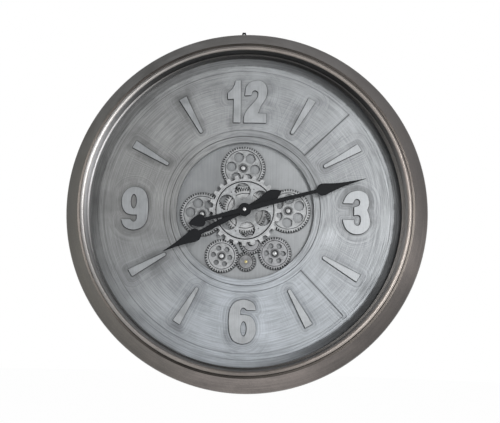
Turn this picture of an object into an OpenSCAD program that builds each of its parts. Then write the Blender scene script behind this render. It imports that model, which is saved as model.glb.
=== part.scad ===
// Gear wall clock: a round metal frame, a brushed dial with raised numbers,
// and a round well where a train of show gears turns behind the hands.
// Shapes are drawn as seen from the front: x to the right, y up, and z forward from the wall.

/* [Frame] */
// Outer diameter of the frame
frame_d = 600; // [560:5:660]
// Height of the bead's centre above the wall
bead_up = 74.5; // [68:0.5:90]
// Radius of the half-round bead
bead_r = 3.7; // [2.5:0.1:5]
// Radial width of the sloping band
band_w = 24.1; // [18:0.1:32]
// Radial width of each fine step
step_w = 2; // [1.2:0.1:3]
// Height of each fine step
step_up = 1.2; // [0.6:0.1:2]
// How far the inner wall leans in towards the dial
wall_lean = 4; // [1:0.5:8]
// Thickness of the frame's shell
shell_t = 3; // [2:0.1:4.5]
// Height of the widest part of the frame above the wall
belly_up = 28; // [22:1:34]
// Distance from the wall to the frame's back edge
wall_gap = 6; // [5:0.1:9]
// Width of the foot that presses on the dial's rim
foot_w = 11.5; // [9:0.5:15]

/* [Dial] */
// Height of the dial's face above the wall
dial_up = 38; // [36:0.5:44]
// Thickness of the dial plate
dial_t = 2; // [1.5:0.1:3]
// How far the raised panel stands above the dial
panel_t = 0.6; // [0.3:0.1:1]
// Distance of the panel's outer edge from the frame's wall
panel_inset = 22; // [18:0.5:30]
// Distance of the panel's inner edge from the gear well
panel_clear = 21; // [14:0.5:26]
// Width of an engraved ring line
line_w = 0.9; // [0.5:0.1:1.6]
// Depth of an engraved ring line
line_deep = 0.5; // [0.3:0.1:1]

/* [Numbers] */
// Height of a number
digit_h = 72; // [56:1:78]
// Width of a single number
digit_w = 44.5; // [36:0.5:50]
// Thickness of a number plate
digit_t = 3; // [1.5:0.1:5]
// Distance of the numbers' centres from the frame's inner wall
digit_inset = 74; // [68:1:78]
// Distance of a bar's outer end from the frame's inner wall
bar_inset = 41; // [34:1:48]
// Length of an hour bar
bar_long = 67; // [50:1:72]
// Width of a bar at its outer end
bar_w = 13.5; // [9:0.5:18]
// Width of a bar at its inner tip
bar_tip_w = 5.5; // [4:0.5:8]

/* [Show gears] */
// Module of the fine teeth
tooth_m = 1.35; // [1.3:0.01:1.4]
// Thickness of a fine gear
gear_t = 4; // [3:0.1:4.5]
// Teeth of the fine gear at the centre
centre_teeth = 54; // [52:1:56]
// Teeth of the three side gears
side_teeth = 52; // [50:1:53]
// Teeth of the idler
idler_teeth = 26; // [24:1:28]
// Teeth of the drive pinion
drive_teeth = 22; // [20:1:24]
// Teeth of the lower left gear
low_left_teeth = 39; // [36:1:40]
// Teeth of the lower right gear
low_right_teeth = 38; // [36:1:40]
// Teeth of the coarse front gear
coarse_teeth = 24; // [20:1:30]
// Tip radius of the coarse front gear
coarse_r = 59.1; // [56:0.1:62]
// Height of a coarse tooth
coarse_tooth_h = 6; // [4:0.5:8]
// Thickness of the coarse gear
coarse_t = 4; // [3:0.1:5]
// Radius of the front disc
disc_r = 47.8; // [46:0.1:50]
// Thickness of the front disc
disc_t = 1.4; // [1.2:0.1:2]
// Radius of a window in the coarse gear
window_r = 13.3; // [9:0.1:14]
// Distance of the windows from the axis
window_reach = 32.4; // [31:0.1:33]
// Depth of the gear well below the dial's face
well_deep = 11; // [10.5:0.1:12]
// Thickness of the well's floor and wall
well_t = 2; // [1.5:0.1:2.5]
// Gap between the outermost gear and the well's wall
well_clear = 0.8; // [0.8:0.1:4]
// Radius of a gear's fixed axle
axle_r = 2; // [1.6:0.1:2.6]
// Radius of an axle screw's head
axle_head_r = 3.6; // [3:0.1:4.4]

/* [Hands] */
// Length of the minute hand from the axis to its tip
minute_len = 204; // [180:1:220]
// Length of the minute hand's tail
minute_tail = 95; // [70:1:110]
// Widest part of the minute hand
minute_w = 19.8; // [12:0.1:24]
// Length of the hour hand from the axis to its tip
hour_len = 151; // [120:1:170]
// Length of the hour hand's tail
hour_tail = 68; // [50:1:80]
// Widest part of the hour hand
hour_w = 21.4; // [14:0.1:26]
// Thickness of a hand
hand_t = 1.6; // [1:0.1:2]
// Radius of the round boss at a hand's axis
hand_boss_r = 10.6; // [8:0.1:14]
// Height of the hour hand's back above the wall
hour_up = 49; // [48:0.1:51]
// Gap between the two hands
hand_gap = 2.4; // [1.5:0.1:4]

/* [Movement] */
// Width and height of the movement's case
move_w = 56; // [54:0.5:60]
// Depth of the movement's case
move_deep = 17; // [16.5:0.1:17.5]
// Wall of the movement's case
move_wall = 1.6; // [1.2:0.1:1.8]
// Radius of the threaded bush round the hand shafts
bush_r = 4; // [3.8:0.1:4.6]
// Radius of the minute shaft
arbor_r = 1.9; // [1.6:0.05:2]
// Wall of the hour pipe
pipe_wall = 0.7; // [0.5:0.05:0.8]
// Thickness of the rubber washer in front of the case
washer_t = 0.8; // [0.5:0.1:1.5]

/* [Power] */
// Radius of a round battery cell
cell_r = 7.25; // [7:0.05:7.25]
// Length of a battery cell with its nub
cell_len = 50.5; // [49:0.1:50.5]
// Radius of the gearbox
gearbox_r = 15; // [13:0.5:17]
// Depth of the gearbox
gearbox_deep = 8; // [6:0.5:9]
// Radius of the motor can
can_r = 12; // [10:0.5:13]
// Radius of the motor's output shaft
shaft_r = 1.5; // [1.2:0.1:2]
// Distance of the battery box from the back panel's edge
box_inset = 98; // [88:1:106]
// Travel of the power switch
switch_travel = 4; // [3:0.5:5]

/* [Back] */
// Thickness of the back panel
back_t = 3; // [2:0.1:4]
// Radius of a wall bumper
bumper_r = 8; // [5:0.5:12]
// Wire radius of the hanging ring
ring_wire_r = 1.5; // [1:0.1:1.6]
// Height of the hanging ring from its hinge to its top
ring_h = 41; // [34:0.5:46]
// Width of the hanging ring at its hinge
ring_w = 30; // [24:1:40]

/* [Hidden] */

$fn = 96;
// Overrun of every cut
over = 1;
// Running clearance of a shaft in its bearing, as a radius
run_gap = 0.06;
// Clearance of a fixed pin or spigot in its hole, as a radius
seat_gap = 0.05;
// Clearance between parts that slide or pass each other
slide_gap = 0.3;
// Facets of the largest round parts
big_fn = 180;

// Frame, from the outside in
frame_r = frame_d / 2;
belly_round_r = 8;
belly_front_rise = 14;
band_turn = 50;
back_round_r = 10;
curve_steps = 8;
step_count = 2;
groove_w = 0.8;
groove_deep = 2;
band_out_r = frame_r - belly_round_r * (1 - cos(band_turn));
band_out_up = belly_up + belly_front_rise * sin(band_turn);
band_in_r = band_out_r - band_w;
bead_c = band_in_r - step_count * step_w - groove_w - bead_r;
lip_r = bead_c - bead_r;
wall_foot_r = lip_r - wall_lean;
foot_clear = 1;
dial_r = wall_foot_r + foot_w - foot_clear;
steps_up = bead_up - step_up / 2;
ledge_w = 13;
back_up = wall_gap + back_t;
back_inset = 2;
back_r = frame_r - back_round_r - back_inset;
back_edge_w = 0.5;
shell_pinch = 1;

// Dial
dial_back = dial_up - dial_t;
floor_up = dial_up - well_deep;
panel_out_r = wall_foot_r - panel_inset;
outer_ring_inset = 12;
outer_step_inset = 17.5;
outer_ring_r = wall_foot_r - outer_ring_inset;
outer_step_r = wall_foot_r - outer_step_inset;
digit_reach = wall_foot_r - digit_inset;
bar_from = wall_foot_r - bar_inset - bar_long;
panel_from = 136;
panel_to = 406;

// Places on the dial are given clockwise from the twelve
function spot(reach, turn) = [reach * sin(turn), reach * cos(turn), 0];
function lift(up) = [0, 0, up];

// Gear train, whose mesh sets every wheel's place
pressure = 20;
lash = 0.12;
addendum_share = 0.9;
dedendum_share = 1.15;
function pitch_r(m, z) = m * z / 2;
function tip_r(m, z) = pitch_r(m, z) + addendum_share * m;
function mesh_dist(m, z1, z2) = m * (z1 + z2) / 2;
// Involute angle in degrees at a pressure angle
function inv(a) = tan(a) * 180 / PI - a;
function base_r(m, z) = pitch_r(m, z) * cos(pressure);
// Half the angle that a tooth takes at a radius
function half_tooth(m, z, r) = 90 / z - lash / 2 / pitch_r(m, z) * 180 / PI
    + inv(pressure) - inv(acos(min(1, base_r(m, z) / r)));
function flank_rs(m, z) = [pitch_r(m, z) - dedendum_share * m, pitch_r(m, z), tip_r(m, z)];
function polar(r, a) = [r * cos(a), r * sin(a)];
// Outline of a gear whose first tooth points at the angle phase, counted from +x
function gear_points(m, z, phase) = [
    for (i = [0:z - 1], side = [-1, 1], k = side < 0 ? [0, 1, 2] : [2, 1, 0])
        let (r = flank_rs(m, z)[k])
            polar(r, phase + i * 360 / z + side * half_tooth(m, z, max(r, base_r(m, z))))
];
// Phase of the second gear that puts its gap on the first gear's tooth at the direction beta
function mesh_phase(phase1, z1, beta, z2) = beta + 180 - ((phase1 - beta) * z1 + 180) / z2;

top_turn = -3.5;
right_turn = 89.1;
left_turn = 264.3;
idler_turn = 168.4;
drive_from_idler = 193.2;
low_left_from_drive = 281.9;
low_right_from_idler = 112.9;
side_reach = mesh_dist(tooth_m, centre_teeth, side_teeth);
top_at = spot(side_reach, top_turn);
right_at = spot(side_reach, right_turn);
left_at = spot(side_reach, left_turn);
idler_at = spot(mesh_dist(tooth_m, centre_teeth, idler_teeth), idler_turn);
drive_at = idler_at + spot(mesh_dist(tooth_m, idler_teeth, drive_teeth), drive_from_idler);
low_left_at = drive_at + spot(mesh_dist(tooth_m, drive_teeth, low_left_teeth), low_left_from_drive);
low_right_at = idler_at + spot(mesh_dist(tooth_m, idler_teeth, low_right_teeth), low_right_from_idler);
centre_phase = 0;
top_phase = mesh_phase(centre_phase, centre_teeth, 90 - top_turn, side_teeth);
right_phase = mesh_phase(centre_phase, centre_teeth, 90 - right_turn, side_teeth);
left_phase = mesh_phase(centre_phase, centre_teeth, 90 - left_turn, side_teeth);
idler_phase = mesh_phase(centre_phase, centre_teeth, 90 - idler_turn, idler_teeth);
drive_phase = mesh_phase(idler_phase, idler_teeth, 90 - drive_from_idler, drive_teeth);
low_left_phase = mesh_phase(drive_phase, drive_teeth, 90 - low_left_from_drive, low_left_teeth);
low_right_phase = mesh_phase(idler_phase, idler_teeth, 90 - low_right_from_idler, low_right_teeth);
axle_spots = [top_at, right_at, left_at, idler_at, low_left_at, low_right_at];

// The well is as wide as the outermost wheel asks
well_r = well_clear + max(
    norm(low_left_at) + tip_r(tooth_m, low_left_teeth),
    norm(low_right_at) + tip_r(tooth_m, low_right_teeth),
    side_reach + tip_r(tooth_m, side_teeth));
well_flange_w = 13;
inner_ring_r = well_r + panel_clear / 2;
panel_in_r = well_r + panel_clear;

// Heights of the gear planes above the wall
collar_t = 2.8;
axial_gap = 0.2;
gear_up = floor_up + collar_t + axial_gap;
gear_top_up = gear_up + gear_t;
counterbore_deep = 2;
hub_recess_r = 5.8;
recess_deep = 0.8;
hub_flange_t = 3;
coarse_up = gear_top_up + hub_flange_t;
coarse_top_up = coarse_up + coarse_t;
disc_seat_deep = 1;
disc_up = coarse_top_up - disc_seat_deep;
disc_top_up = disc_up + disc_t;
ring_gap_w = 0.8;
window_count = 6;
window_turn = -7.7;
inner_hole_share = 0.45;
inner_hole_turn = 20;
web_clear = 1.4;
collar_r = 4.8;
axle_flare_w = 1.2;
axle_flare_t = 0.9;
axle_head_rise = 0.4;
slot_w = 0.9;
slot_deep = 0.3;
pinion_hub_r = 4.4;
pinion_hub_rise = 0.6;
pinion_rim_share = 0.78;
shaft_rise = 1.4;

// Bearing tube of the centre wheels
sleeve_wall = 2.1;
sleeve_r = bush_r + seat_gap + sleeve_wall;
hub_wall = 2.7;
hub_r = sleeve_r + run_gap + hub_wall;
hub_flange_r = 13.6;
thrust_t = 2;
sleeve_top = disc_top_up + slide_gap + axial_gap;
bush_washer_t = 0.8;
bush_washer_lap = 0.4;
bush_washer_r = hub_r + bush_washer_lap;
bush_nut_t = 3;
bush_nut_r = 6.8;
bush_rise = 0.4;
bush_top = sleeve_top + bush_washer_t + bush_nut_t + bush_rise;

// Hands
minute_up = hour_up + hand_t + hand_gap;
pipe_in_r = arbor_r + run_gap;
pipe_out_r = pipe_in_r + pipe_wall;
arbor_rise = 1.6;
arbor_end = minute_up + hand_t + arbor_rise;
nut_h = 3.4;
nut_r = 3.2;
nut_dome_r = 3.4;
hour_turn = 241.7;
minute_turn = 74.6;

// Movement, drawn from its back forward
move_front = floor_up - well_t - washer_t;
move_back = move_front - move_deep;
move_inner = move_front - move_wall;
cover_t = 1.2;
cover_back = move_back - cover_t;
half_move = move_w / 2;
cell_slack = 0.5;
cell_slot_h = 2 * cell_r + cell_slack;
cell_floor_y = -half_move + move_wall;
cell_y = cell_floor_y + cell_slot_h / 2;
cell_clear = 0.1;
cell_up = move_inner - cell_r - cell_clear;
divider_y = cell_floor_y + cell_slot_h;
divider_t = 1;
works_m = 0.4;
cannon_teeth = 12;
minute_teeth = 36;
minute_pinion_teeth = 10;
hour_teeth = 40;
setting_teeth = 20;
works_reach = mesh_dist(works_m, cannon_teeth, minute_teeth);
works_m2 = 2 * works_reach / (minute_pinion_teeth + hour_teeth);
minute_wheel_turn = 30;
minute_wheel_at = spot(works_reach, minute_wheel_turn);
setting_from_minute = 60;
setting_at = minute_wheel_at + spot(mesh_dist(works_m, minute_teeth, setting_teeth), setting_from_minute);
cannon_phase = 0;
minute_wheel_phase = mesh_phase(cannon_phase, cannon_teeth, 90 - minute_wheel_turn, minute_teeth);
hour_wheel_phase = mesh_phase(0, minute_pinion_teeth, 270 - minute_wheel_turn, hour_teeth);
setting_phase = mesh_phase(minute_wheel_phase, minute_teeth, 90 - setting_from_minute, setting_teeth);
works_inset = 4;
wheel_up = move_back + works_inset;
wheel_t = 2.4;
pinion_up = wheel_up + wheel_t;
pinion_t = 3;
pivot_r = 0.8;
setting_shaft_r = 1.2;
knob_r = 5;
knob_t = 1.4;
knob_ribs = 20;
knob_rib_h = 0.4;
board_t = 1;
coil_r = 3.4;
coil_len = 24;
coil_at = [-6, 21, 0];
board_size = [20, 30];
board_at = [-15.6, 9, 0];
contact_t = 0.5;
contact_share = 1.4;
washer_r = 12;
move_round_r = 3;
move_opening = 3;

// Geared motor
motor_gap = 0.4;
can_back = back_up + motor_gap;
gearbox_back = floor_up - well_t - gearbox_deep;
boss_r = 3.6;
boss_rise = 1;
gearbox_wall = 1;
ear_r = 4;
ear_reach = gearbox_r + ear_r;
ear_t = 1.4;
screw_r = 1.2;
screw_head_r = 2.4;
screw_head_t = 1.4;

// Battery box in the back panel
box_wall = 1.6;
box_end_space = 4.1;
box_in_w = cell_len + 2 * box_end_space;
box_slack = 1.6;
box_in_h = 4 * cell_r + box_slack;
box_w = box_in_w + 2 * box_wall;
box_h = box_in_h + 2 * box_wall;
box_head = 0.9;
box_in_deep = 2 * cell_r + box_head;
cell_half_gap = 0.25;
box_at = [box_inset - back_r, 0, 0];
box_front = wall_gap + box_in_deep + box_wall;
cover_gap = 0.2;
lid_t = 1.4;
lid_up = wall_gap - cover_gap - lid_t;
rail_w = 5;
rail_lip = 2;
rail_lip_t = 1.2;
rail_back = lid_up - cover_gap - rail_lip_t;
lid_w = box_w - box_wall / 2 - slide_gap;
lid_h = box_in_h + box_wall;
grip_count = 5;
grip_w = 1.2;
box_screw_inset = 6;
box_screw_reach = box_w / 2 - box_screw_inset;

// Power switch, a share of the way from the battery box to the motor
switch_share = 0.24;
switch_low = 62;
box_side = box_at[0] + box_w / 2;
switch_at = [box_side + (drive_at[0] - box_side) * switch_share, -switch_low, 0];
switch_w = 16;
switch_h = 8;
switch_flange = 3;
switch_flange_t = 0.8;
switch_deep = 6.5;
switch_wall = 1;
nub_w = 4;
nub_h = 3;
nub_rise = 2.2;
nub_foot_w = 7;
nub_foot_t = 1.2;

// Leads on the back panel's front face
lead_r = 0.9;
lead_sides = 8;
lead_up = back_up + lead_r + seat_gap;
lead_gap = 0.5;
lead_out_y = 4;
lead_switch_y = -8;
lead_out_angle = 263;
lead_switch_angle = 235;
// Each point's shares of the way across and of the way up between a route's two ends
out_shares = [
    [0, 0], [0.067, 0.006], [0.148, 0.056], [0.228, 0.178], [0.322, 0.4], [0.416, 0.622],
    [0.523, 0.8], [0.671, 0.933], [0.819, 1.011], [0.94, 1.022], [1, 1]
];
to_switch_shares = [
    [0, 0], [0.242, 0.02], [0.455, 0.123], [0.576, 0.368], [0.636, 0.613], [0.697, 0.818],
    [0.833, 0.941], [1, 1]
];
from_switch_shares = [
    [0, 0], [0.071, 0.068], [0.186, 0.475], [0.357, 0.949], [0.567, 1.22], [0.776, 1.254],
    [0.929, 1.085], [1, 1]
];
function route(from, to, shares) = [
    for (s = shares) [from[0] + (to[0] - from[0]) * s[0], from[1] + (to[1] - from[1]) * s[1]]
];
motor_end_out = drive_at + spot(can_r + lead_gap, lead_out_angle);
motor_end_switch = drive_at + spot(can_r + lead_gap, lead_switch_angle);
lead_out = route([box_side + lead_gap, lead_out_y], motor_end_out, out_shares);
lead_to_switch = route([box_side + lead_gap, lead_switch_y],
    [switch_at[0] - switch_w / 4, switch_at[1] + switch_h / 2 + lead_r + slide_gap], to_switch_shares);
lead_from_switch = route([switch_at[0] + switch_w / 2 + lead_gap, switch_at[1]], motor_end_switch,
    from_switch_shares);

// Fasteners, posts and hanger
post_r = 4;
post_inset = 88;
post_reach = back_r - post_inset;
post_count = 4;
post_angle = 45;
back_screw_count = 8;
back_screw_inset = 6;
back_screw_reach = back_r - back_screw_inset;
dial_screw_count = 8;
dial_screw_angle = 22.5;
dial_screw_shift = 0.6;
dial_screw_reach = wall_foot_r + foot_w / 2 + dial_screw_shift;
well_screw_count = 6;
well_screw_inset = 5.5;
well_screw_reach = well_r + well_t + well_screw_inset;
well_screw_angle = 12;
bumper_inset = 26;
bumper_reach = back_r - bumper_inset;
bumper_count = 4;
bumper_angle = 45;
hinge_up = 3.1;
knuckle_r = 2.8;
knuckle_w = 18;
hanger_inset = 16;
hanger_y = back_r - hanger_inset;
// The hanger sits a little off the middle, so the clock hangs slightly turned
hanger_x = -9;
hanger_h = 25;
hanger_w = 24;
hanger_foot_share = 0.6;
hanger_foot_at_share = 0.66;
hanger_t = 1.2;
rivet_r = 1.2;
rivet_head_r = 2.6;
rivet_head_t = 0.9;
rivet_pitch = 10;
ring_apex_w = 3;
ring_ball_share = 1.15;
ring_ball_r = ring_ball_share * ring_wire_r;

// Turns front-view drawings so that their z runs forward from the wall
module front() {
    rotate([90, 0, 0]) children();
}

// Tube or disc that stands at a height above the wall
module ring(r_out, r_in, from, to) {
    translate(lift(from)) difference() {
        cylinder(r = r_out, h = to - from);
        if (r_in > 0) translate(lift(-over)) cylinder(r = r_in, h = to - from + 2 * over);
    }
}

module post(r, from, to) {
    translate(lift(from)) cylinder(r = r, h = to - from);
}

// Round tool for a hole or a recess
module cut(r, from, to) {
    post(r, from, to);
}

// Box centred in x and y that stands at a height above the wall
module slab(w, h, from, to) {
    translate([-w / 2, -h / 2, from]) cube([w, h, to - from]);
}

module around(count, start = 0) {
    for (i = [0:count - 1]) rotate([0, 0, -(start + i * 360 / count)]) children();
}

// Smooth curve through a list of points
function blend_point(a, b, c, d, t) =
    (2 * b + (c - a) * t + (2 * a - 5 * b + 4 * c - d) * t * t + (3 * b - a - 3 * c + d) * t * t * t) / 2;
function smooth(pts, n) = concat(
    [for (i = [0:len(pts) - 2], k = [0:n - 1])
        blend_point(pts[max(i - 1, 0)], pts[i], pts[i + 1], pts[min(i + 2, len(pts) - 1)], k / n)],
    [pts[len(pts) - 1]]);
function scaled(shares, w, h) = [for (p = shares) [p[0] * w, p[1] * h]];

// Frame

function ellipse_arc(c, rx, ry, a0, a1, n) =
    [for (i = [0:n]) let (a = a0 + (a1 - a0) * i / n) [c[0] + rx * cos(a), c[1] + ry * sin(a)]];

function frame_section() = concat(
    ellipse_arc([frame_r - back_round_r, belly_up], back_round_r, belly_up - wall_gap, -90, 0, curve_steps),
    ellipse_arc([frame_r - belly_round_r, belly_up], belly_round_r, belly_front_rise,
        band_turn / curve_steps, band_turn, curve_steps - 1),
    [
        [band_in_r, steps_up - step_count * step_up],
        [band_in_r, steps_up - step_up],
        [band_in_r - step_w, steps_up - step_up],
        [band_in_r - step_w, steps_up],
        [band_in_r - step_count * step_w, steps_up],
        [band_in_r - step_count * step_w, steps_up - groove_deep],
        [bead_c, steps_up - groove_deep],
        [lip_r, bead_up],
        [wall_foot_r, dial_up],
        [wall_foot_r + foot_w, dial_up],
        [wall_foot_r + foot_w, dial_up + shell_t],
        [wall_foot_r + shell_t, dial_up + shell_t],
        [lip_r + shell_t, steps_up - groove_deep - shell_t],
        [band_in_r - shell_t, steps_up - groove_deep - shell_t],
        [band_out_r - shell_t - shell_pinch, band_out_up - shell_t / 2],
        [frame_r - shell_t, belly_up],
        [frame_r - back_round_r, back_up + shell_t],
        [back_r - ledge_w, back_up + shell_t],
        [back_r - ledge_w, back_up],
        [back_r + back_edge_w, back_up],
        [back_r + back_edge_w, wall_gap]
    ]);

module frame_rim() front() color("#6e6a64") {
    difference() {
        union() {
            rotate_extrude($fn = big_fn) polygon(frame_section());
            rotate_extrude($fn = big_fn) translate([bead_c, bead_up]) circle(r = bead_r, $fn = 24);
        }
        around(back_screw_count) translate([0, back_screw_reach, 0])
            cut(screw_r + seat_gap, back_up - over, back_up + shell_t + over);
        around(dial_screw_count, dial_screw_angle) translate([0, dial_screw_reach, 0])
            cut(screw_r + seat_gap, dial_up - over, dial_up + shell_t + over);
    }
}

module back_panel() front() color("#2c2c2e") {
    difference() {
        post(back_r, wall_gap, back_up, $fn = big_fn);
        slab(move_w + move_opening, move_w + move_opening, wall_gap - over, back_up + over);
        translate(box_at) slab(box_w + slide_gap, box_h + slide_gap, wall_gap - over, back_up + over);
        translate(switch_at)
            slab(switch_w + slide_gap, switch_h + slide_gap, wall_gap - over, back_up + over);
        around(back_screw_count) translate([0, back_screw_reach, 0])
            cut(screw_r + seat_gap, wall_gap - over, back_up + over);
        for (s = [-1, 1]) {
            translate([hanger_x, hanger_y - hanger_h / 2 + s * rivet_pitch / 2, 0])
                cut(rivet_r + seat_gap, wall_gap - over, back_up + over);
            translate(box_at + [box_screw_reach * s, s * (box_h + rail_w) / 2, 0])
                cut(screw_r + seat_gap, wall_gap - over, back_up + over);
        }
    }
}

// Pan-head screw that points forward, with its head's front face at a height
module screw(up, reach) {
    post(screw_head_r, up - screw_head_t, up, $fn = 32);
    post(screw_r, up - seat_gap, up + reach, $fn = 24);
}

module back_screws() front() color("#8d8f92") {
    around(back_screw_count) translate([0, back_screw_reach, 0])
        screw(wall_gap, back_t + shell_t);
}

module dial_screws() front() color("#8d8f92") {
    around(dial_screw_count, dial_screw_angle) translate([0, dial_screw_reach, 0])
        screw(dial_back, dial_t + shell_t);
}

module well_screws() front() color("#8d8f92") {
    around(well_screw_count, well_screw_angle) translate([0, well_screw_reach, 0])
        screw(dial_back - well_t, well_t + dial_t - panel_t);
}

module spacer_posts() front() color("#9a9da0") {
    around(post_count, post_angle) translate([0, post_reach, 0])
        post(post_r, back_up, dial_back, $fn = 6);
}

module wall_bumpers() front() color("#1b1b1c") {
    around(bumper_count, bumper_angle) translate([0, bumper_reach, 0])
        post(bumper_r, 0, wall_gap, $fn = 48);
}

module hanger_plate() front() color("#3a3a3c") translate([hanger_x, 0, 0]) {
    difference() {
        union() {
            translate([0, hanger_y - hanger_h / 2, 0])
                slab(knuckle_w, hanger_h, wall_gap - hanger_t, wall_gap);
            translate([0, hanger_y - hanger_h * hanger_foot_at_share, 0])
                slab(hanger_w, hanger_h * hanger_foot_share, wall_gap - hanger_t, wall_gap);
            translate([-knuckle_w / 2, hanger_y, hinge_up]) rotate([0, 90, 0])
                cylinder(r = knuckle_r, h = knuckle_w, $fn = 40);
        }
        translate([-knuckle_w / 2 - over, hanger_y, hinge_up]) rotate([0, 90, 0])
            cylinder(r = ring_wire_r + run_gap, h = knuckle_w + 2 * over, $fn = 40);
        for (s = [-1, 1]) translate([0, hanger_y - hanger_h / 2 + s * rivet_pitch / 2, 0])
            cut(rivet_r + seat_gap, wall_gap - hanger_t - over, wall_gap + over, $fn = 24);
    }
}

module hanger_rivets() front() color("#77797c") translate([hanger_x, 0, 0]) {
    for (s = [-1, 1]) translate([0, hanger_y - hanger_h / 2 + s * rivet_pitch / 2, 0]) {
        post(rivet_head_r, wall_gap - hanger_t - rivet_head_t, wall_gap - hanger_t, $fn = 32);
        post(rivet_r, wall_gap - hanger_t - seat_gap, back_up + seat_gap, $fn = 24);
        post(rivet_head_r, back_up, back_up + rivet_head_t, $fn = 32);
    }
}

// Straight wire between two places, with a slightly thicker ball at each bend
module wire(p, q) {
    v = q - p;
    translate(p) rotate([0, 0, atan2(v[1], v[0])]) rotate([0, 90, 0])
        cylinder(r = ring_wire_r, h = norm(v), $fn = 32);
    for (end = [p, q]) translate(end) sphere(r = ring_ball_r, $fn = 32);
}

// Triangle of wire with a narrow top, drawn round its hinge line
module hanging_ring() front() color("#242426") translate([hanger_x, hanger_y, hinge_up]) {
    side = ring_w / 2;
    top = ring_h - ring_ball_r;
    wire([-side, 0, 0], [side, 0, 0]);
    wire([-ring_apex_w / 2, top, 0], [ring_apex_w / 2, top, 0]);
    for (m = [-1, 1]) wire([m * side, 0, 0], [m * ring_apex_w / 2, top, 0]);
}

// Dial

module ring_line(r) {
    ring(r + line_w / 2, r - line_w / 2, dial_up - line_deep, dial_up + over, $fn = big_fn);
}

module dial_plate() front() color("#9aa0a3") {
    difference() {
        union() {
            ring(dial_r, well_r, dial_back, dial_up, $fn = big_fn);
            rotate([0, 0, 90 - panel_to]) rotate_extrude(angle = panel_to - panel_from, $fn = big_fn)
                translate([panel_in_r, dial_up - seat_gap])
                    square([panel_out_r - panel_in_r, panel_t + seat_gap]);
        }
        ring_line(inner_ring_r);
        ring_line(outer_ring_r);
        ring_line(outer_step_r);
        around(dial_screw_count, dial_screw_angle) translate([0, dial_screw_reach, 0])
            cut(screw_r + seat_gap, dial_back - over, dial_up + over);
        around(well_screw_count, well_screw_angle) translate([0, well_screw_reach, 0])
            cut(screw_r + seat_gap, dial_back - over, dial_up - panel_t);
    }
}

module well_cup() front() color("#8f9599") {
    difference() {
        union() {
            post(well_r + well_t, floor_up - well_t, dial_back, $fn = big_fn);
            post(well_r + well_t + well_flange_w, dial_back - well_t, dial_back, $fn = big_fn);
        }
        cut(well_r, floor_up, dial_back + over, $fn = big_fn);
        cut(bush_r + seat_gap, floor_up - well_t - over, floor_up + over);
        translate(drive_at) cut(boss_r + seat_gap, floor_up - well_t - over, floor_up + over);
        for (s = [-1, 1]) translate(drive_at + [s * ear_reach, 0, 0])
            cut(screw_r + seat_gap, floor_up - well_t - over, floor_up + over);
        for (p = axle_spots) translate(p)
            cut(axle_r + seat_gap, floor_up - well_t - over, floor_up + over);
        around(well_screw_count, well_screw_angle) translate([0, well_screw_reach, 0])
            cut(screw_r + seat_gap, dial_back - well_t - over, dial_back + over);
    }
}

// Numbers and bars, with outlines in shares of their width and height

six_outer_shares = [
    [0.99, 0.761], [0.93, 0.885], [0.78, 0.965], [0.52, 1], [0.22, 0.94], [0.05, 0.79], [0, 0.58],
    [0, 0.42], [0.06, 0.2], [0.22, 0.055], [0.52, 0], [0.8, 0.06], [0.96, 0.2], [1, 0.33],
    [0.95, 0.5], [0.82, 0.61], [0.62, 0.65], [0.418, 0.652]
];
six_hook_shares = [[0.418, 0.743], [0.46, 0.795], [0.533, 0.815], [0.6, 0.795], [0.656, 0.761]];
six_slot_shares = [0.547, 0.341, 0.112, 0.168];
three_outer_shares = [
    [0, 0.335], [0.02, 0.26], [0.12, 0.12], [0.33, 0.02], [0.6, 0], [0.85, 0.07], [0.99, 0.2],
    [1, 0.33], [0.96, 0.46], [0.9, 0.553], [0.95, 0.65], [0.96, 0.76], [0.88, 0.91], [0.7, 0.985],
    [0.5, 1], [0.25, 0.95], [0.08, 0.83], [0, 0.7]
];
three_top_shares = [
    [0.38, 0.7], [0.42, 0.77], [0.494, 0.803], [0.59, 0.79], [0.627, 0.733], [0.6, 0.67], [0.52, 0.64],
    [0.407, 0.622]
];
three_low_shares = [
    [0.407, 0.425], [0.47, 0.438], [0.56, 0.44], [0.63, 0.415], [0.65, 0.36], [0.646, 0.28], [0.6, 0.21],
    [0.53, 0.195], [0.45, 0.22], [0.418, 0.27], [0.418, 0.33]
];
one_shares = [[0.466, 0], [0.466, 0.56], [0.03, 0.55], [0, 0.69]];
one_flag_shares = [[0, 0.7], [0.3, 0.79], [0.48, 0.88], [0.56, 0.98], [0.62, 1]];
one_stem_shares = [[1, 1], [1, 0]];
two_foot_shares = [[0, 0], [0.98, 0], [0.98, 0.22]];
two_outer_shares = [
    [0.62, 0.225], [0.74, 0.4], [0.93, 0.57], [1, 0.75], [0.93, 0.9], [0.75, 0.985], [0.5, 1],
    [0.25, 0.955], [0.08, 0.85], [0.03, 0.64]
];
two_inner_shares = [
    [0.31, 0.65], [0.36, 0.735], [0.46, 0.765], [0.58, 0.74], [0.61, 0.68], [0.56, 0.58], [0.38, 0.46],
    [0.15, 0.31], [0.03, 0.186], [0, 0.08]
];
one_w_share = 0.5;
two_w_share = 0.86;
one_gap_share = 0.12;
curve_count = 3;
slot_count = 24;

module six_plate() {
    slot = six_slot_shares;
    translate([-digit_w / 2, -digit_h / 2, 0]) linear_extrude(height = digit_t) difference() {
        polygon(scaled(concat(smooth(six_outer_shares, curve_count), smooth(six_hook_shares, curve_count)),
            digit_w, digit_h));
        polygon(ellipse_arc([slot[0] * digit_w, slot[1] * digit_h], slot[2] * digit_w, slot[3] * digit_h,
            0, 360 - 360 / slot_count, slot_count - 1));
    }
}

module three_plate() {
    translate([-digit_w / 2, -digit_h / 2, 0]) linear_extrude(height = digit_t)
        polygon(scaled(concat(smooth(three_outer_shares, curve_count), smooth(three_top_shares, curve_count),
            smooth(three_low_shares, curve_count)), digit_w, digit_h));
}

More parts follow.
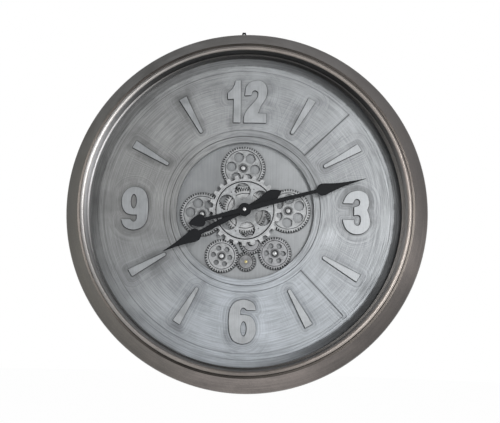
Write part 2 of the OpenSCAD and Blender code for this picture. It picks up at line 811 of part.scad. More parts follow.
module twelve_plate() {
    one_w = one_w_share * digit_w;
    two_w = two_w_share * digit_w;
    gap = one_gap_share * digit_w;
    all_w = one_w + two_w + gap;
    translate([-all_w / 2, -digit_h / 2, 0]) linear_extrude(height = digit_t) {
        polygon(scaled(
            concat(one_shares, smooth(one_flag_shares, curve_count), one_stem_shares), one_w, digit_h));
        translate([one_w + gap, 0]) polygon(scaled(
            concat(two_foot_shares, smooth(two_outer_shares, curve_count),
                smooth(two_inner_shares, curve_count)), two_w, digit_h));
    }
}

module on_dial(turn, raised) {
    translate(spot(digit_reach, turn) + lift(dial_up + raised)) children();
}

module numeral_12() front() color("#b4b9bb") on_dial(0, panel_t) twelve_plate();
module numeral_3() front() color("#b4b9bb") on_dial(90, 0) three_plate();
module numeral_6() front() color("#b4b9bb") on_dial(180, panel_t) six_plate();
module numeral_9() front() color("#b4b9bb") on_dial(270, panel_t) rotate([0, 0, 180]) six_plate();

module bar(raised) {
    tip = bar_tip_w / 2;
    translate(lift(dial_up + raised)) {
        linear_extrude(height = digit_t) polygon([
            [-tip, bar_from + tip], [tip, bar_from + tip],
            [bar_w / 2, bar_from + bar_long], [-bar_w / 2, bar_from + bar_long]
        ]);
        translate([0, bar_from + tip, 0]) cylinder(r = tip, h = digit_t, $fn = 32);
    }
}

module hour_bars() front() color("#b4b9bb") {
    for (turn = [30:30:330]) if (turn % 90 != 0)
        rotate([0, 0, -turn]) bar(turn > panel_to - 360 && turn < panel_from ? 0 : panel_t);
}

// Show gears

module toothed(m, z, phase, from, to) {
    translate(lift(from)) linear_extrude(height = to - from) polygon(gear_points(m, z, phase));
}

// Groove round a gear's web
module web_groove(r, up) {
    ring(r + ring_gap_w / 2, r - ring_gap_w / 2, up - recess_deep, up + over);
}

// Wheel with a counterbored hub, six holes and a groove or a sunk web inside its rim
module show_gear(at, z, phase, rim_share, hole_r, hole_reach, hole_turn, sunk) {
    rim_r = pitch_r(tooth_m, z) * rim_share;
    translate(at) difference() {
        toothed(tooth_m, z, phase, gear_up, gear_top_up);
        cut(axle_r + run_gap, gear_up - over, gear_top_up + over);
        cut(hub_recess_r, gear_top_up - counterbore_deep, gear_top_up + over);
        if (sunk) ring(rim_r, hub_recess_r + web_clear, gear_top_up - recess_deep, gear_top_up + over);
        else web_groove(rim_r, gear_top_up);
        around(window_count, hole_turn) translate([0, hole_reach, 0])
            cut(hole_r, gear_up - over, gear_top_up + over);
    }
}

side_hole_r = 8.3;
side_hole_reach = 19.7;
low_hole_r = 4.3;
low_hole_reach = 13.7;
side_rim_share = 0.87;
low_rim_share = 0.84;
top_hole_turn = -23.2;
right_hole_turn = 3.8;
left_hole_turn = -21.2;
low_left_hole_turn = -21.2;
low_right_hole_turn = -29.2;

module gear_top() front() color("#a9afb1")
    show_gear(top_at, side_teeth, top_phase, side_rim_share, side_hole_r, side_hole_reach,
        top_hole_turn, true);
module gear_right() front() color("#a9afb1")
    show_gear(right_at, side_teeth, right_phase, side_rim_share, side_hole_r, side_hole_reach,
        right_hole_turn, true);
module gear_left() front() color("#a9afb1")
    show_gear(left_at, side_teeth, left_phase, side_rim_share, side_hole_r, side_hole_reach,
        left_hole_turn, true);
module gear_lower_left() front() color("#a9afb1")
    show_gear(low_left_at, low_left_teeth, low_left_phase, low_rim_share, low_hole_r, low_hole_reach,
        low_left_hole_turn, false);
module gear_lower_right() front() color("#9b9fa2")
    show_gear(low_right_at, low_right_teeth, low_right_phase, low_rim_share, low_hole_r, low_hole_reach,
        low_right_hole_turn, false);

module idler_gear() front() color("#8a8d90") translate(idler_at) difference() {
    toothed(tooth_m, idler_teeth, idler_phase, gear_up, gear_top_up);
    cut(axle_r + run_gap, gear_up - over, gear_top_up + over);
    cut(hub_recess_r, gear_top_up - counterbore_deep, gear_top_up + over);
}

module axle_posts() front() color("#7d8083") {
    for (p = axle_spots) translate(p) {
        difference() {
            union() {
                post(axle_r, floor_up - well_t - seat_gap,
                    gear_top_up - counterbore_deep + axial_gap, $fn = 32);
                post(collar_r, floor_up, floor_up + collar_t, $fn = 32);
                post(axle_r + axle_flare_w, floor_up - well_t - axle_flare_t, floor_up - well_t, $fn = 32);
            }
            cut(axle_r / 2 + seat_gap, floor_up, gear_top_up, $fn = 24);
        }
    }
}

module axle_screws() front() color("#d7dadb") {
    seat = gear_top_up - counterbore_deep + axial_gap;
    for (p = axle_spots) translate(p) difference() {
        union() {
            post(axle_r / 2, floor_up + seat_gap, seat + seat_gap, $fn = 24);
            post(axle_head_r, seat, seat + counterbore_deep + axle_head_rise, $fn = 40);
        }
        translate(lift(seat + counterbore_deep)) slab(2 * axle_head_r + over, slot_w, -slot_deep, over);
    }
}

module centre_fine_gear() front() color("#8f9497") difference() {
    toothed(tooth_m, centre_teeth, centre_phase, gear_up, gear_top_up);
    cut(hub_r + seat_gap, gear_up - over, gear_top_up + over);
    web_groove(pitch_r(tooth_m, centre_teeth) * side_rim_share, gear_top_up);
    around(window_count, inner_hole_turn) translate([0, (hub_flange_r + window_reach) / 2, 0])
        cut(window_r * inner_hole_share, gear_up - over, gear_top_up + over);
}

coarse_tip_share = 0.36;
coarse_root_share = 0.58;
function coarse_points() = [
    for (i = [0:coarse_teeth - 1], k = [0:3])
        let (pitch = 360 / coarse_teeth, outer = k == 1 || k == 2,
            half = (outer ? coarse_tip_share : coarse_root_share) * pitch / 2)
        polar(outer ? coarse_r : coarse_r - coarse_tooth_h, i * pitch + (k < 2 ? -half : half))
];

module windows(from, to) {
    around(window_count, window_turn) translate([0, window_reach, 0]) cut(window_r, from - over, to + over);
}

module coarse_gear() front() color("#b9bec0") difference() {
    translate(lift(coarse_up)) linear_extrude(height = coarse_t) polygon(coarse_points());
    cut(hub_r + seat_gap, coarse_up - over, coarse_top_up + over);
    cut(disc_r + ring_gap_w, disc_up, coarse_top_up + over);
    windows(coarse_up, coarse_top_up);
}

module front_disc() front() color("#c2c6c8") difference() {
    post(disc_r, disc_up, disc_top_up);
    cut(hub_r + seat_gap, disc_up - over, disc_top_up + over);
    windows(disc_up, disc_top_up);
}

module cluster_hub() front() color("#9a9da0") {
    ring(hub_r, sleeve_r + run_gap, floor_up + thrust_t + slide_gap, disc_top_up);
    ring(hub_flange_r, hub_r - seat_gap, gear_top_up, coarse_up);
}

module gear_bush() front() color("#c9a65a") {
    ring(sleeve_r, bush_r + seat_gap, floor_up, sleeve_top);
    ring(hub_r, sleeve_r - seat_gap, floor_up, floor_up + thrust_t);
}

module bush_washer() front() color("#a5a8aa")
    ring(bush_washer_r, bush_r + seat_gap, sleeve_top, sleeve_top + bush_washer_t);

module bush_nut() front() color("#c9a65a") difference() {
    post(bush_nut_r, sleeve_top + bush_washer_t, sleeve_top + bush_washer_t + bush_nut_t, $fn = 6);
    cut(bush_r + seat_gap, sleeve_top, bush_top + over);
}

// Geared motor behind the well

module motor_shaft() front() color("#c9a65a") translate(drive_at)
    post(shaft_r, gearbox_back + gearbox_wall + axial_gap, gear_top_up + shaft_rise, $fn = 40);

module drive_pinion() front() color("#85888b") translate(drive_at) difference() {
    union() {
        toothed(tooth_m, drive_teeth, drive_phase, gear_up, gear_top_up);
        post(pinion_hub_r, gear_up, gear_top_up + pinion_hub_rise, $fn = 48);
    }
    cut(shaft_r + seat_gap, gear_up - over, gear_top_up + over, $fn = 40);
    web_groove(pitch_r(tooth_m, drive_teeth) * pinion_rim_share, gear_top_up);
}

module gearbox_case() front() color("#b7babc") translate(drive_at) difference() {
    union() {
        post(gearbox_r, gearbox_back, floor_up - well_t);
        post(boss_r, floor_up - well_t - seat_gap, floor_up + boss_rise, $fn = 40);
        for (s = [-1, 1]) {
            translate([s * ear_reach, 0, 0])
                post(ear_r, floor_up - well_t - ear_t, floor_up - well_t, $fn = 40);
            translate([s * (gearbox_r + ear_reach) / 2, 0, 0])
                slab(gearbox_r, 2 * ear_r, floor_up - well_t - ear_t, floor_up - well_t);
        }
    }
    cut(shaft_r + run_gap, gearbox_back + gearbox_wall, floor_up + boss_rise + over, $fn = 40);
    for (s = [-1, 1]) translate([s * ear_reach, 0, 0])
        cut(screw_r + seat_gap, floor_up - well_t - ear_t - over, floor_up, $fn = 24);
}

module motor_can() front() color("#a2a5a8") translate(drive_at)
    post(can_r, can_back, gearbox_back);

// Small pan-head screws: two in the gearbox's ears and two in the battery box's rails
module small_screws() front() color("#8d8f92") {
    for (s = [-1, 1]) {
        translate(drive_at + [s * ear_reach, 0, 0])
            screw(floor_up - well_t - ear_t, ear_t + well_t - axial_gap);
        translate(box_at + [box_screw_reach * s, s * (box_h + rail_w) / 2, 0])
            screw(rail_back, back_up - rail_back - axial_gap);
    }
}

// Battery box, drawn round its own centre

// Space that the cover slides in, open at the box's right end
module lid_channel(h, from, to) {
    translate([box_wall / 2 + over, 0, 0]) slab(box_w + 2 * over, h, from, to);
}

module battery_box() front() color("#232325") translate(box_at) difference() {
    union() {
        slab(box_w, box_h, rail_back, box_front);
        slab(box_w, box_h + 2 * rail_w, rail_back, wall_gap);
    }
    slab(box_in_w, box_in_h, wall_gap - over, wall_gap + box_in_deep);
    lid_channel(lid_h + 2 * slide_gap, lid_up - cover_gap, wall_gap);
    lid_channel(lid_h - 2 * rail_lip, rail_back - over, lid_up);
    for (s = [-1, 1]) translate([box_screw_reach * s, s * (box_h + rail_w) / 2, 0])
        cut(screw_r + seat_gap, rail_back - over, wall_gap + over, $fn = 24);
}

module battery_cover() front() color("#2e2e30") translate(box_at + [(box_w - lid_w) / 2, 0, 0]) {
    slab(lid_w, lid_h, lid_up, lid_up + lid_t);
    for (i = [0:grip_count - 1]) translate([lid_w / 2 - 2 * grip_w * (i + 2), 0, 0])
        slab(grip_w, lid_h / 2, lid_up - grip_w / 2, lid_up + cover_gap);
}

module cell(len) {
    nub_len = 1;
    nub_r = 2.75;
    translate([-len / 2, 0, 0]) rotate([0, 90, 0]) cylinder(r = cell_r, h = len - nub_len, $fn = 64);
    translate([-len / 2, 0, 0]) rotate([0, 90, 0]) cylinder(r = nub_r, h = len, $fn = 40);
}

cells_up = wall_gap + box_in_deep - cell_r - slide_gap;

module battery_cells() front() color("#3d6b4a") translate(box_at + lift(cells_up))
    for (s = [-1, 1]) translate([0, s * (cell_r + cell_half_gap), 0])
        rotate([0, 0, s > 0 ? 0 : 180]) cell(cell_len);

// End plate with a bent leaf that presses on a cell's end
module contact(end_x, free_x, up) {
    plate_h = cell_r * contact_share;
    leaf = 2 * contact_t;
    side = sign(end_x);
    translate([end_x - side * contact_t / 2, 0, 0])
        slab(contact_t, plate_h, up - plate_h / 2, up + plate_h / 2);
    translate([0, 0, up - leaf]) linear_extrude(height = 2 * leaf) polygon([
        [end_x - side * contact_t / 2, -plate_h / 3], [free_x + side * contact_t, 0],
        [end_x - side * contact_t / 2, plate_h / 3], [end_x - side * leaf, plate_h / 3],
        [free_x, leaf / 2], [free_x, -leaf / 2], [end_x - side * leaf, -plate_h / 3]
    ]);
}

module battery_contacts() front() color("#c4c7c9") translate(box_at) {
    for (side = [-1, 1], s = [-1, 1]) translate([0, s * (cell_r + cell_half_gap), 0])
        contact(side * box_in_w / 2, side * (cell_len / 2 + seat_gap), cells_up);
}

module power_switch() front() color("#1f1f21") translate(switch_at) difference() {
    union() {
        slab(switch_w, switch_h, wall_gap, wall_gap + switch_deep);
        slab(switch_w + 2 * switch_flange, switch_h + switch_flange, wall_gap - switch_flange_t, wall_gap);
    }
    slab(switch_w - 2 * switch_wall, switch_h - 2 * switch_wall, wall_gap + switch_wall,
        wall_gap + switch_deep - switch_wall);
    slab(nub_w + switch_travel + 2 * slide_gap, nub_h + 2 * slide_gap, wall_gap - over,
        wall_gap + 2 * switch_wall);
}

module switch_slider() front() color("#d8d8d8") translate(switch_at - [switch_travel / 2, 0, 0]) {
    foot_up = wall_gap + switch_wall + slide_gap / 2;
    slab(nub_w, nub_h, wall_gap - nub_rise, foot_up + seat_gap);
    slab(nub_foot_w, switch_h - 2 * switch_wall - slide_gap, foot_up, foot_up + nub_foot_t);
}

// Tube along a flat route on the back panel
function route_dir(route, i) = let (a = route[max(i - 1, 0)], b = route[min(i + 1, len(route) - 1)])
    (b - a) / norm(b - a);
function tube_ring(route, i) = let (d = route_dir(route, i)) [
    for (k = [0:lead_sides - 1]) let (a = 360 * k / lead_sides)
        concat([route[i][0], route[i][1]] + [-d[1], d[0]] * lead_r * cos(a), lead_up + lead_r * sin(a))
];

module tube(route) {
    n = len(route);
    rings = [for (i = [0:n - 1]) each tube_ring(route, i)];
    walls = [for (i = [0:n - 2], k = [0:lead_sides - 1]) let (j = (k + 1) % lead_sides)
        [i * lead_sides + k, (i + 1) * lead_sides + k, (i + 1) * lead_sides + j, i * lead_sides + j]];
    first = [for (k = [0:lead_sides - 1]) k];
    last = [for (k = [0:lead_sides - 1]) n * lead_sides - 1 - k];
    polyhedron(rings, concat(walls, [first, last]));
}

module power_leads() front() color("#7a2222") {
    tube(lead_out);
    tube(lead_to_switch);
    tube(lead_from_switch);
}

// Movement

module rounded_slab(w, h, r, from, to) {
    slab(w - 2 * r, h, from, to);
    slab(w, h - 2 * r, from, to);
    for (sx = [-1, 1], sy = [-1, 1]) translate([sx * (w / 2 - r), sy * (h / 2 - r), 0])
        post(r, from, to, $fn = 32);
}

module movement_case() front() color("#1e1e20") difference() {
    union() {
        difference() {
            rounded_slab(move_w, move_w, move_round_r, move_back, move_front);
            translate([0, (divider_y + divider_t + half_move - move_wall) / 2, 0])
                slab(move_w - 2 * move_wall, half_move - move_wall - divider_y - divider_t,
                    move_back - over, move_inner);
            translate([0, cell_y, 0])
                slab(move_w - 2 * move_wall, cell_slot_h, move_back - over, move_inner);
        }
        post(bush_r, move_inner, bush_top);
        translate(minute_wheel_at) post(pivot_r, wheel_up - over, move_inner + seat_gap, $fn = 24);
        translate(setting_at) post(pivot_r, wheel_up + wheel_t / 2, move_inner + seat_gap, $fn = 24);
    }
    cut(pipe_out_r + run_gap, move_back, bush_top + over, $fn = 48);
}

module movement_cover() front() color("#2a2a2c") difference() {
    cover_h = half_move - divider_y;
    translate([0, (half_move + divider_y) / 2, 0])
        rounded_slab(move_w, cover_h, move_round_r, cover_back, move_back);
    cut(arbor_r + run_gap, cover_back - over, move_back + over, $fn = 40);
    translate(setting_at) cut(setting_shaft_r + run_gap, cover_back - over, move_back + over, $fn = 32);
}

module movement_board() front() color("#2f5a3a") translate(board_at)
    slab(board_size[0], board_size[1], move_inner - board_t, move_inner);

module movement_coil() front() color("#b06a3a") {
    coil_up = move_inner - board_t - coil_r - seat_gap;
    flange_t = 1;
    translate(coil_at + [-coil_len / 2, 0, coil_up]) rotate([0, 90, 0])
        cylinder(r = coil_r, h = coil_len, $fn = 40);
    for (s = [-1, 1]) translate(coil_at + [s * (coil_len + flange_t) / 2, 0, 0])
        slab(flange_t, 2 * coil_r, coil_up - coil_r, coil_up + coil_r);
}

module movement_washer() front() color("#141414")
    ring(washer_r, bush_r + seat_gap, move_front, move_front + washer_t);

module minute_arbor() front() color("#c9a65a") {
    post(arbor_r, cover_back, arbor_end, $fn = 40);
    toothed(works_m, cannon_teeth, cannon_phase, wheel_up, wheel_up + wheel_t);
}

module minute_wheel() front() color("#d9d4c4") translate(minute_wheel_at) difference() {
    union() {
        toothed(works_m, minute_teeth, minute_wheel_phase, wheel_up, wheel_up + wheel_t);
        toothed(works_m2, minute_pinion_teeth, 0, pinion_up - seat_gap, pinion_up + pinion_t);
    }
    cut(pivot_r + run_gap, wheel_up - over, pinion_up + pinion_t + over, $fn = 24);
}

module hour_pipe() front() color("#c9a65a") difference() {
    union() {
        toothed(works_m2, hour_teeth, hour_wheel_phase, pinion_up + slide_gap,
            pinion_up + pinion_t - slide_gap);
        post(pipe_out_r, pinion_up + slide_gap, hour_up + hand_t, $fn = 48);
    }
    cut(pipe_in_r, pinion_up - over, hour_up + hand_t + over, $fn = 48);
}

module setting_wheel() front() color("#d9d4c4") translate(setting_at) difference() {
    union() {
        toothed(works_m, setting_teeth, setting_phase, wheel_up, wheel_up + wheel_t);
        post(setting_shaft_r, cover_back - slide_gap - seat_gap, wheel_up + seat_gap, $fn = 32);
        translate(lift(cover_back - slide_gap - knob_t)) linear_extrude(height = knob_t)
            polygon([for (i = [0:2 * knob_ribs - 1])
                polar(knob_r - (i % 2) * knob_rib_h, i * 180 / knob_ribs)]);
    }
    cut(pivot_r + run_gap, wheel_up + wheel_t / 2 - axial_gap, wheel_up + wheel_t + over, $fn = 24);
}

module movement_cell() front() color("#3d6b4a") translate([0, cell_y, cell_up]) cell(cell_len);

module cell_contacts() front() color("#c4c7c9") translate([0, cell_y, 0])
    for (side = [-1, 1]) contact(side * (half_move - move_wall), side * (cell_len / 2 + seat_gap), cell_up);

// Hands, with half outlines in shares of length and of half the width

minute_shares = [
    [0.055, 0.42], [0.34, 0.36], [0.57, 0.3], [0.6, 0.5], [0.615, 0.82], [0.645, 1], [0.68, 0.87],
    [0.73, 0.62], [0.8, 0.37], [0.9, 0.17], [1, 0.03]
];
minute_tail_shares = [
    [0.12, 0.42], [0.45, 0.34], [0.69, 0.3], [0.71, 0.55], [0.74, 0.95], [0.79, 1.05], [0.86, 0.88],
    [0.93, 0.5], [1, 0.03]
];
hour_shares = [
    [0.075, 0.43], [0.35, 0.4], [0.53, 0.34], [0.555, 0.62], [0.58, 0.92], [0.61, 1], [0.65, 0.92],
    [0.72, 0.67], [0.81, 0.39], [0.9, 0.2], [1, 0.03]
];
hour_tail_shares = [
    [0.17, 0.43], [0.42, 0.56], [0.62, 0.84], [0.72, 0.93], [0.82, 0.8], [0.92, 0.42], [1, 0.03]
];
hand_curve_count = 4;

function half_outline(shares, len, w) =
    [for (p = smooth(shares, hand_curve_count)) [p[1] * w / 2, p[0] * len]];
function mirrored(pts) = [for (i = [len(pts) - 1:-1:0]) [-pts[i][0], pts[i][1]]];

module hand(tip_shares, tail_shares, tip_len, tail_len, w, bore_r, up) {
    blade = half_outline(tip_shares, tip_len, w);
    tail = half_outline(tail_shares, -tail_len, w);
    turned = [for (i = [len(tail) - 1:-1:0]) tail[i]];
    right = concat(turned, blade);
    translate(lift(up)) difference() {
        union() {
            linear_extrude(height = hand_t) polygon(concat(right, mirrored(right)));
            cylinder(r = hand_boss_r, h = hand_t, $fn = 64);
        }
        translate(lift(-over)) cylinder(r = bore_r, h = hand_t + 2 * over, $fn = 48);
    }
}

module minute_hand() front() color("#2d2e31") rotate([0, 0, -minute_turn])
    hand(minute_shares, minute_tail_shares, minute_len, minute_tail, minute_w, arbor_r + seat_gap, minute_up);
module hour_hand() front() color("#2d2e31") rotate([0, 0, -hour_turn])
    hand(hour_shares, hour_tail_shares, hour_len, hour_tail, hour_w, pipe_out_r + seat_gap, hour_up);

module hand_nut() front() color("#d7dadb") {
    seat = minute_up + hand_t;
    difference() {
        union() {
            post(nut_r, seat, seat + nut_h / 2, $fn = 48);
            intersection() {
                translate(lift(seat + nut_h - nut_dome_r)) sphere(r = nut_dome_r, $fn = 48);
                post(nut_r, seat + nut_h / 4, seat + nut_h + over, $fn = 48);
            }
        }
        cut(arbor_r + seat_gap, seat - over, arbor_end + axial_gap, $fn = 40);
    }
}

frame_rim();
dial_plate();
well_cup();
back_panel();
back_screws();
dial_screws();
well_screws();
spacer_posts();
wall_bumpers();
hanger_plate();
hanger_rivets();
hanging_ring();
numeral_12();
numeral_3();
numeral_6();
numeral_9();
hour_bars();
centre_fine_gear();
coarse_gear();
front_disc();
cluster_hub();
gear_bush();
bush_washer();
bush_nut();
gear_top();
gear_right();
gear_left();
gear_lower_left();
gear_lower_right();
idler_gear();
axle_posts();
axle_screws();
drive_pinion();
motor_shaft();
gearbox_case();
motor_can();
small_screws();
battery_box();
battery_cover();
battery_cells();
battery_contacts();
power_switch();
switch_slider();
power_leads();
movement_case();
movement_cover();
movement_board();
movement_coil();
movement_washer();
minute_arbor();
minute_wheel();
hour_pipe();
setting_wheel();
movement_cell();
cell_contacts();
minute_hand();
hour_hand();
hand_nut();
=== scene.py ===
# Looks of the gear wall clock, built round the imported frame.
# Shapes are in mm, drawn as seen from the front: x right, y up, f forward from the wall. Turns run clockwise
# from the twelve. Materials, lamps and the camera work in metres.
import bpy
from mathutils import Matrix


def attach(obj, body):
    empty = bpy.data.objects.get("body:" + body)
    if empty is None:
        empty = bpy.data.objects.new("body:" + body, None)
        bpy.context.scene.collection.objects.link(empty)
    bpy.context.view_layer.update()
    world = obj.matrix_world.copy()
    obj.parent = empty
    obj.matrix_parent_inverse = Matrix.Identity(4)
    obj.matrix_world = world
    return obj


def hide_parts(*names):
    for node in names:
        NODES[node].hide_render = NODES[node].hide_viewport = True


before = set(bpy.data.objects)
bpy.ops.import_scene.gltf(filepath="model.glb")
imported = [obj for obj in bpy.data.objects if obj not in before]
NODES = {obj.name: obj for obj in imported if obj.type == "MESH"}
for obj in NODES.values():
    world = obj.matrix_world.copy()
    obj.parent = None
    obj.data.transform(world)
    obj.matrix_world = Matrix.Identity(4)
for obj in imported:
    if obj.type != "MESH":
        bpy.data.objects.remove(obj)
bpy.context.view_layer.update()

from math import acos, cos, degrees, dist, hypot, pi, radians, sin, tan

import bmesh
import bpy
import numpy as np
from mathutils import Matrix, Vector, Quaternion

MM = 0.001
FRONT = Matrix(((MM, 0, 0, 0), (0, 0, -MM, 0), (0, MM, 0, 0), (0, 0, 0, 1)))
ROOT = "clock_case"
CENTRE = (0, 0)


def spot(reach, turn):
    """Place at a distance from the hands' axis."""
    return np.array([reach * sin(radians(turn)), reach * cos(radians(turn))])


# Nodes and materials

# Sockets of the Mix node that carry colours.
MIX_A, MIX_B, MIX_OUT = 6, 7, 2


class Nodes:
    """Short helpers that add nodes to a tree."""

    def __init__(self, tree):
        self.t = tree

    def node(self, kind, **props):
        n = self.t.nodes.new("ShaderNode" + kind)
        for k, v in props.items():
            setattr(n, k, v)
        return n

    def put(self, sock, v):
        """Links or sets a socket. None leaves it as it is."""
        if isinstance(v, bpy.types.NodeSocket):
            self.t.links.new(v, sock)
        elif v is not None:
            sock.default_value = v

    def fill(self, n, *vals, **named):
        """Sets a node's first inputs, and those with these names, and gives its first output."""
        for s, v in zip(n.inputs, vals):
            self.put(s, v)
        for k, v in named.items():
            self.put(n.inputs[k.replace("_", " ")], v)
        return n.outputs[0]

    def made(self, kind, *vals, **named):
        return self.fill(self.node(kind), *vals, **named)

    def math(self, op, *vals):
        return self.fill(self.node("Math", operation=op), *vals)

    def times(self, *factors):
        """Product of values."""
        product = factors[0]
        for factor in factors[1:]:
            product = self.math("MULTIPLY", product, factor)
        return product

    def plus(self, a, b):
        return self.math("ADD", a, b)

    def less(self, v):
        """What is left of one."""
        return self.math("SUBTRACT", 1.0, v)

    def ramp(self, v, lo, hi, a=0.0, b=1.0):
        """Smooth change from a to b while the value goes from lo to hi."""
        return self.fill(self.node("MapRange", interpolation_type="SMOOTHSTEP"), v, lo, hi, a, b)

    def rays(self):
        """Whether a ray comes from the camera, and whether it was mirrored or passed through."""
        path = self.node("LightPath")
        mirrored = self.math("MAXIMUM", path.outputs["Is Glossy Ray"], path.outputs["Is Transmission Ray"])
        return path.outputs["Is Camera Ray"], mirrored


class Mat(Nodes):
    """A material with helpers for its colours and textures."""

    def __init__(self, name):
        self.m = bpy.data.materials.new(name)
        self.m.use_nodes = True
        super().__init__(self.m.node_tree)
        self.b = self.t.nodes["Principled BSDF"]

    def vec(self, op, *vals, **named):
        n = self.node("VectorMath", operation=op)
        first = self.fill(n, *vals, **named)
        return n.outputs["Value"] if op in ("LENGTH", "DOT_PRODUCT") else first

    def coords(self):
        return self.node("TexCoord").outputs["Object"]

    def noise(self, scale, detail, rough=0.6, at=None):
        return self.made("TexNoise", Vector=at or self.coords(), Scale=scale, Detail=detail, Roughness=rough)

    def vary(self, noise, lo, hi, *more):
        """Noise drawn out between two levels, and more such rows added to it."""
        level = self.ramp(noise, 0.3, 0.7, lo, hi)
        return self.plus(level, self.vary(*more)) if more else level

    def sway(self, noise, amount, v):
        """A value moved up and down by a noise."""
        return self.math("MULTIPLY_ADD", self.math("SUBTRACT", noise, 0.5), amount, v)

    def stored(self, name):
        """A distance in mm that the mesh carries."""
        return self.node("Attribute", attribute_name=name).outputs["Fac"]

    def mix(self, fac, a, b, kind="MIX"):
        n = self.node("Mix", data_type="RGBA", blend_type=kind)
        self.put(n.inputs[0], fac)
        self.put(n.inputs[MIX_A], a)
        self.put(n.inputs[MIX_B], b)
        return n.outputs[MIX_OUT]

    def scale_colour(self, col, f):
        """Colour times a grey factor."""
        return self.mix(1.0, col, self.made("CombineColor", f, f, f), "MULTIPLY")

    def grimed_and_shaded(self, col, reach, lo, hi, least):
        """Colour darkened where the surface is hollow, down to a share of itself: dirt and painted shade."""
        # Occlusion darkens the colour: painted shade in hollows as well as dirt.
        n = self.node("AmbientOcclusion", samples=6)
        self.fill(n, Distance=reach)
        return self.scale_colour(col, self.ramp(n.outputs["AO"], lo, hi, least, 1.0))

    def set(self, **vals):
        self.fill(self.b, **vals)

    def finished(self, height, distance, **vals):
        """The material with these values of its shader, and a height as its fine relief."""
        self.set(Normal=self.made("Bump", Strength=1.0, Distance=distance, Height=height), **vals)
        return self.m

    def polar(self, at=CENTRE):
        """Radius and unit direction about an axis that runs along f."""
        p = self.vec("SUBTRACT", self.coords(), (at[0] * MM, 0.0, at[1] * MM))
        flat = self.vec("MULTIPLY", p, (1.0, 0.0, 1.0))
        return self.vec("LENGTH", flat), self.vec("NORMALIZE", flat)

    def from_ring(self, r, ring_r):
        """Distance to a ring about the same axis."""
        return self.math("ABSOLUTE", self.math("SUBTRACT", r, ring_r * MM))

    def facing(self, d, turn):
        """Cosine of the angle between a direction and a turn of the dial."""
        x, y = spot(1, turn)
        return self.vec("DOT_PRODUCT", d, (x, 0.0, y))

    def lobe(self, d, turn, power):
        """One towards a turn of the dial, falling to nothing a quarter turn away."""
        return self.math("POWER", self.math("MAXIMUM", self.facing(d, turn), 0.0), power)

    def lobes(self, d, base, table):
        """Base plus a share of each lobe, from rows of (turn, power, share)."""
        level = base
        for turn, power, share in table:
            level = self.math("MULTIPLY_ADD", self.lobe(d, turn, power), share, level)
        return level

    def round_brush(self, at, along=2.5, across=900.0):
        """Noise drawn out round an axis, as on a turned face."""
        r, d = self.polar(at)
        rings = self.made("CombineXYZ", None, self.times(r, across))
        return self.noise(1.0, 3.0, at=self.vec("ADD", self.vec("SCALE", d, Scale=along), rings))

    def line_brush(self, turn, along=14.0, across=1400.0, deep=300.0):
        """Noise drawn out along one direction of the dial."""
        drawn = self.made("Mapping", Vector=self.coords(), Rotation=(0, radians(turn), 0),
                          Scale=(across, deep, along))
        return self.noise(1.0, 3.0, at=drawn)


HUB_RING_R = 5.7


def metal(name, col, rough, metallic=1.0, brush=None, at=CENTRE, turn=0, brushed=0.12, mottle=0.10,
          grime_and_shade=0.55, reach=0.004, bump=0.00002, mottle_scale=60.0, table=(), hub=0.0, fade=None):
    """Worn metal: brush marks, slow mottling, and dirt with painted shade where the surface is hollow.

    Its tone can also follow a table of painted light and shade round the clock, a fade away from its axis,
    and a dark ring on a hub."""
    m = Mat(name)
    if brush == "round":
        marks = m.round_brush(at)
    elif brush == "line":
        marks = m.line_brush(turn)
    else:
        marks = m.noise(900.0, 4.0, 0.55)
    slow = m.noise(mottle_scale, 4.0)
    tone = m.vary(marks, 1 - brushed, 1 + brushed, slow, -mottle, mottle)
    # The table paints light and shade by side of the clock.
    if table:
        tone = m.times(tone, m.lobes(m.polar()[1], 1.0, table))
    if fade:
        tone = m.times(tone, m.ramp(m.polar(at)[0], *fade))
    if hub:
        tone = m.times(tone, m.ramp(m.from_ring(m.polar(at)[0], HUB_RING_R), 0.0016, 0.0028, 1 - hub, 1.0))
    shade = m.grimed_and_shaded(m.scale_colour((*col, 1), tone), reach, 0.35, 0.95, 1 - grime_and_shade)
    return m.finished(marks, bump, Base_Color=shade, Metallic=metallic,
                      Roughness=m.vary(slow, rough - 0.06, rough + 0.06, marks, -0.04, 0.04))


def plain(name, col, rough, metallic=0.0, grain=700.0, vary=0.12, bump=0.00003, coat=0.0, grime_and_shade=0.3,
          gloss=0.5):
    """Moulded or painted surface with fine grain, slow changes of tone, and dust with painted shade in its
    corners.
    """
    m = Mat(name)
    fine = m.noise(grain, 4.0)
    slow = m.noise(35.0, 3.0, 0.55)
    shade = m.scale_colour((*col, 1), m.vary(slow, 1 - vary, 1 + vary))
    if coat:
        m.set(Coat_Weight=coat, Coat_Roughness=0.15)
    return m.finished(fine, bump, Base_Color=m.grimed_and_shaded(shade, 0.004, 0.3, 0.95, 1 - grime_and_shade), Metallic=metallic,
                      Roughness=m.vary(fine, rough - 0.06, rough + 0.06), Specular_IOR_Level=gloss)


# Geometry helpers


def linked(name, data):
    """New object in the scene."""
    ob = bpy.data.objects.new(name, data)
    bpy.context.scene.collection.objects.link(ob)
    return ob


def finish_mesh(name, me, mat, body, replaces=(), slot=None, sharp=None):
    """Mesh as a piece that rides on a body, shaded smooth up to a sharp angle."""
    me.name = name
    ob = linked(name, me)
    me.materials.clear()
    me.materials.append(mat)
    if sharp is not None:
        me.polygons.foreach_set("use_smooth", [True] * len(me.polygons))
        me.set_sharp_from_angle(angle=radians(sharp))
    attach(ob, body)
    if replaces:
        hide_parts(*replaces)
    return ob


def from_lists(verts, faces):
    me = bpy.data.meshes.new("mesh")
    me.from_pydata(verts, [], faces)
    bm = bmesh.new()
    bm.from_mesh(me)
    bmesh.ops.remove_doubles(bm, verts=bm.verts, dist=1e-5)
    bmesh.ops.recalc_face_normals(bm, faces=bm.faces)
    bm.to_mesh(me)
    bm.free()
    me.transform(FRONT)
    return me


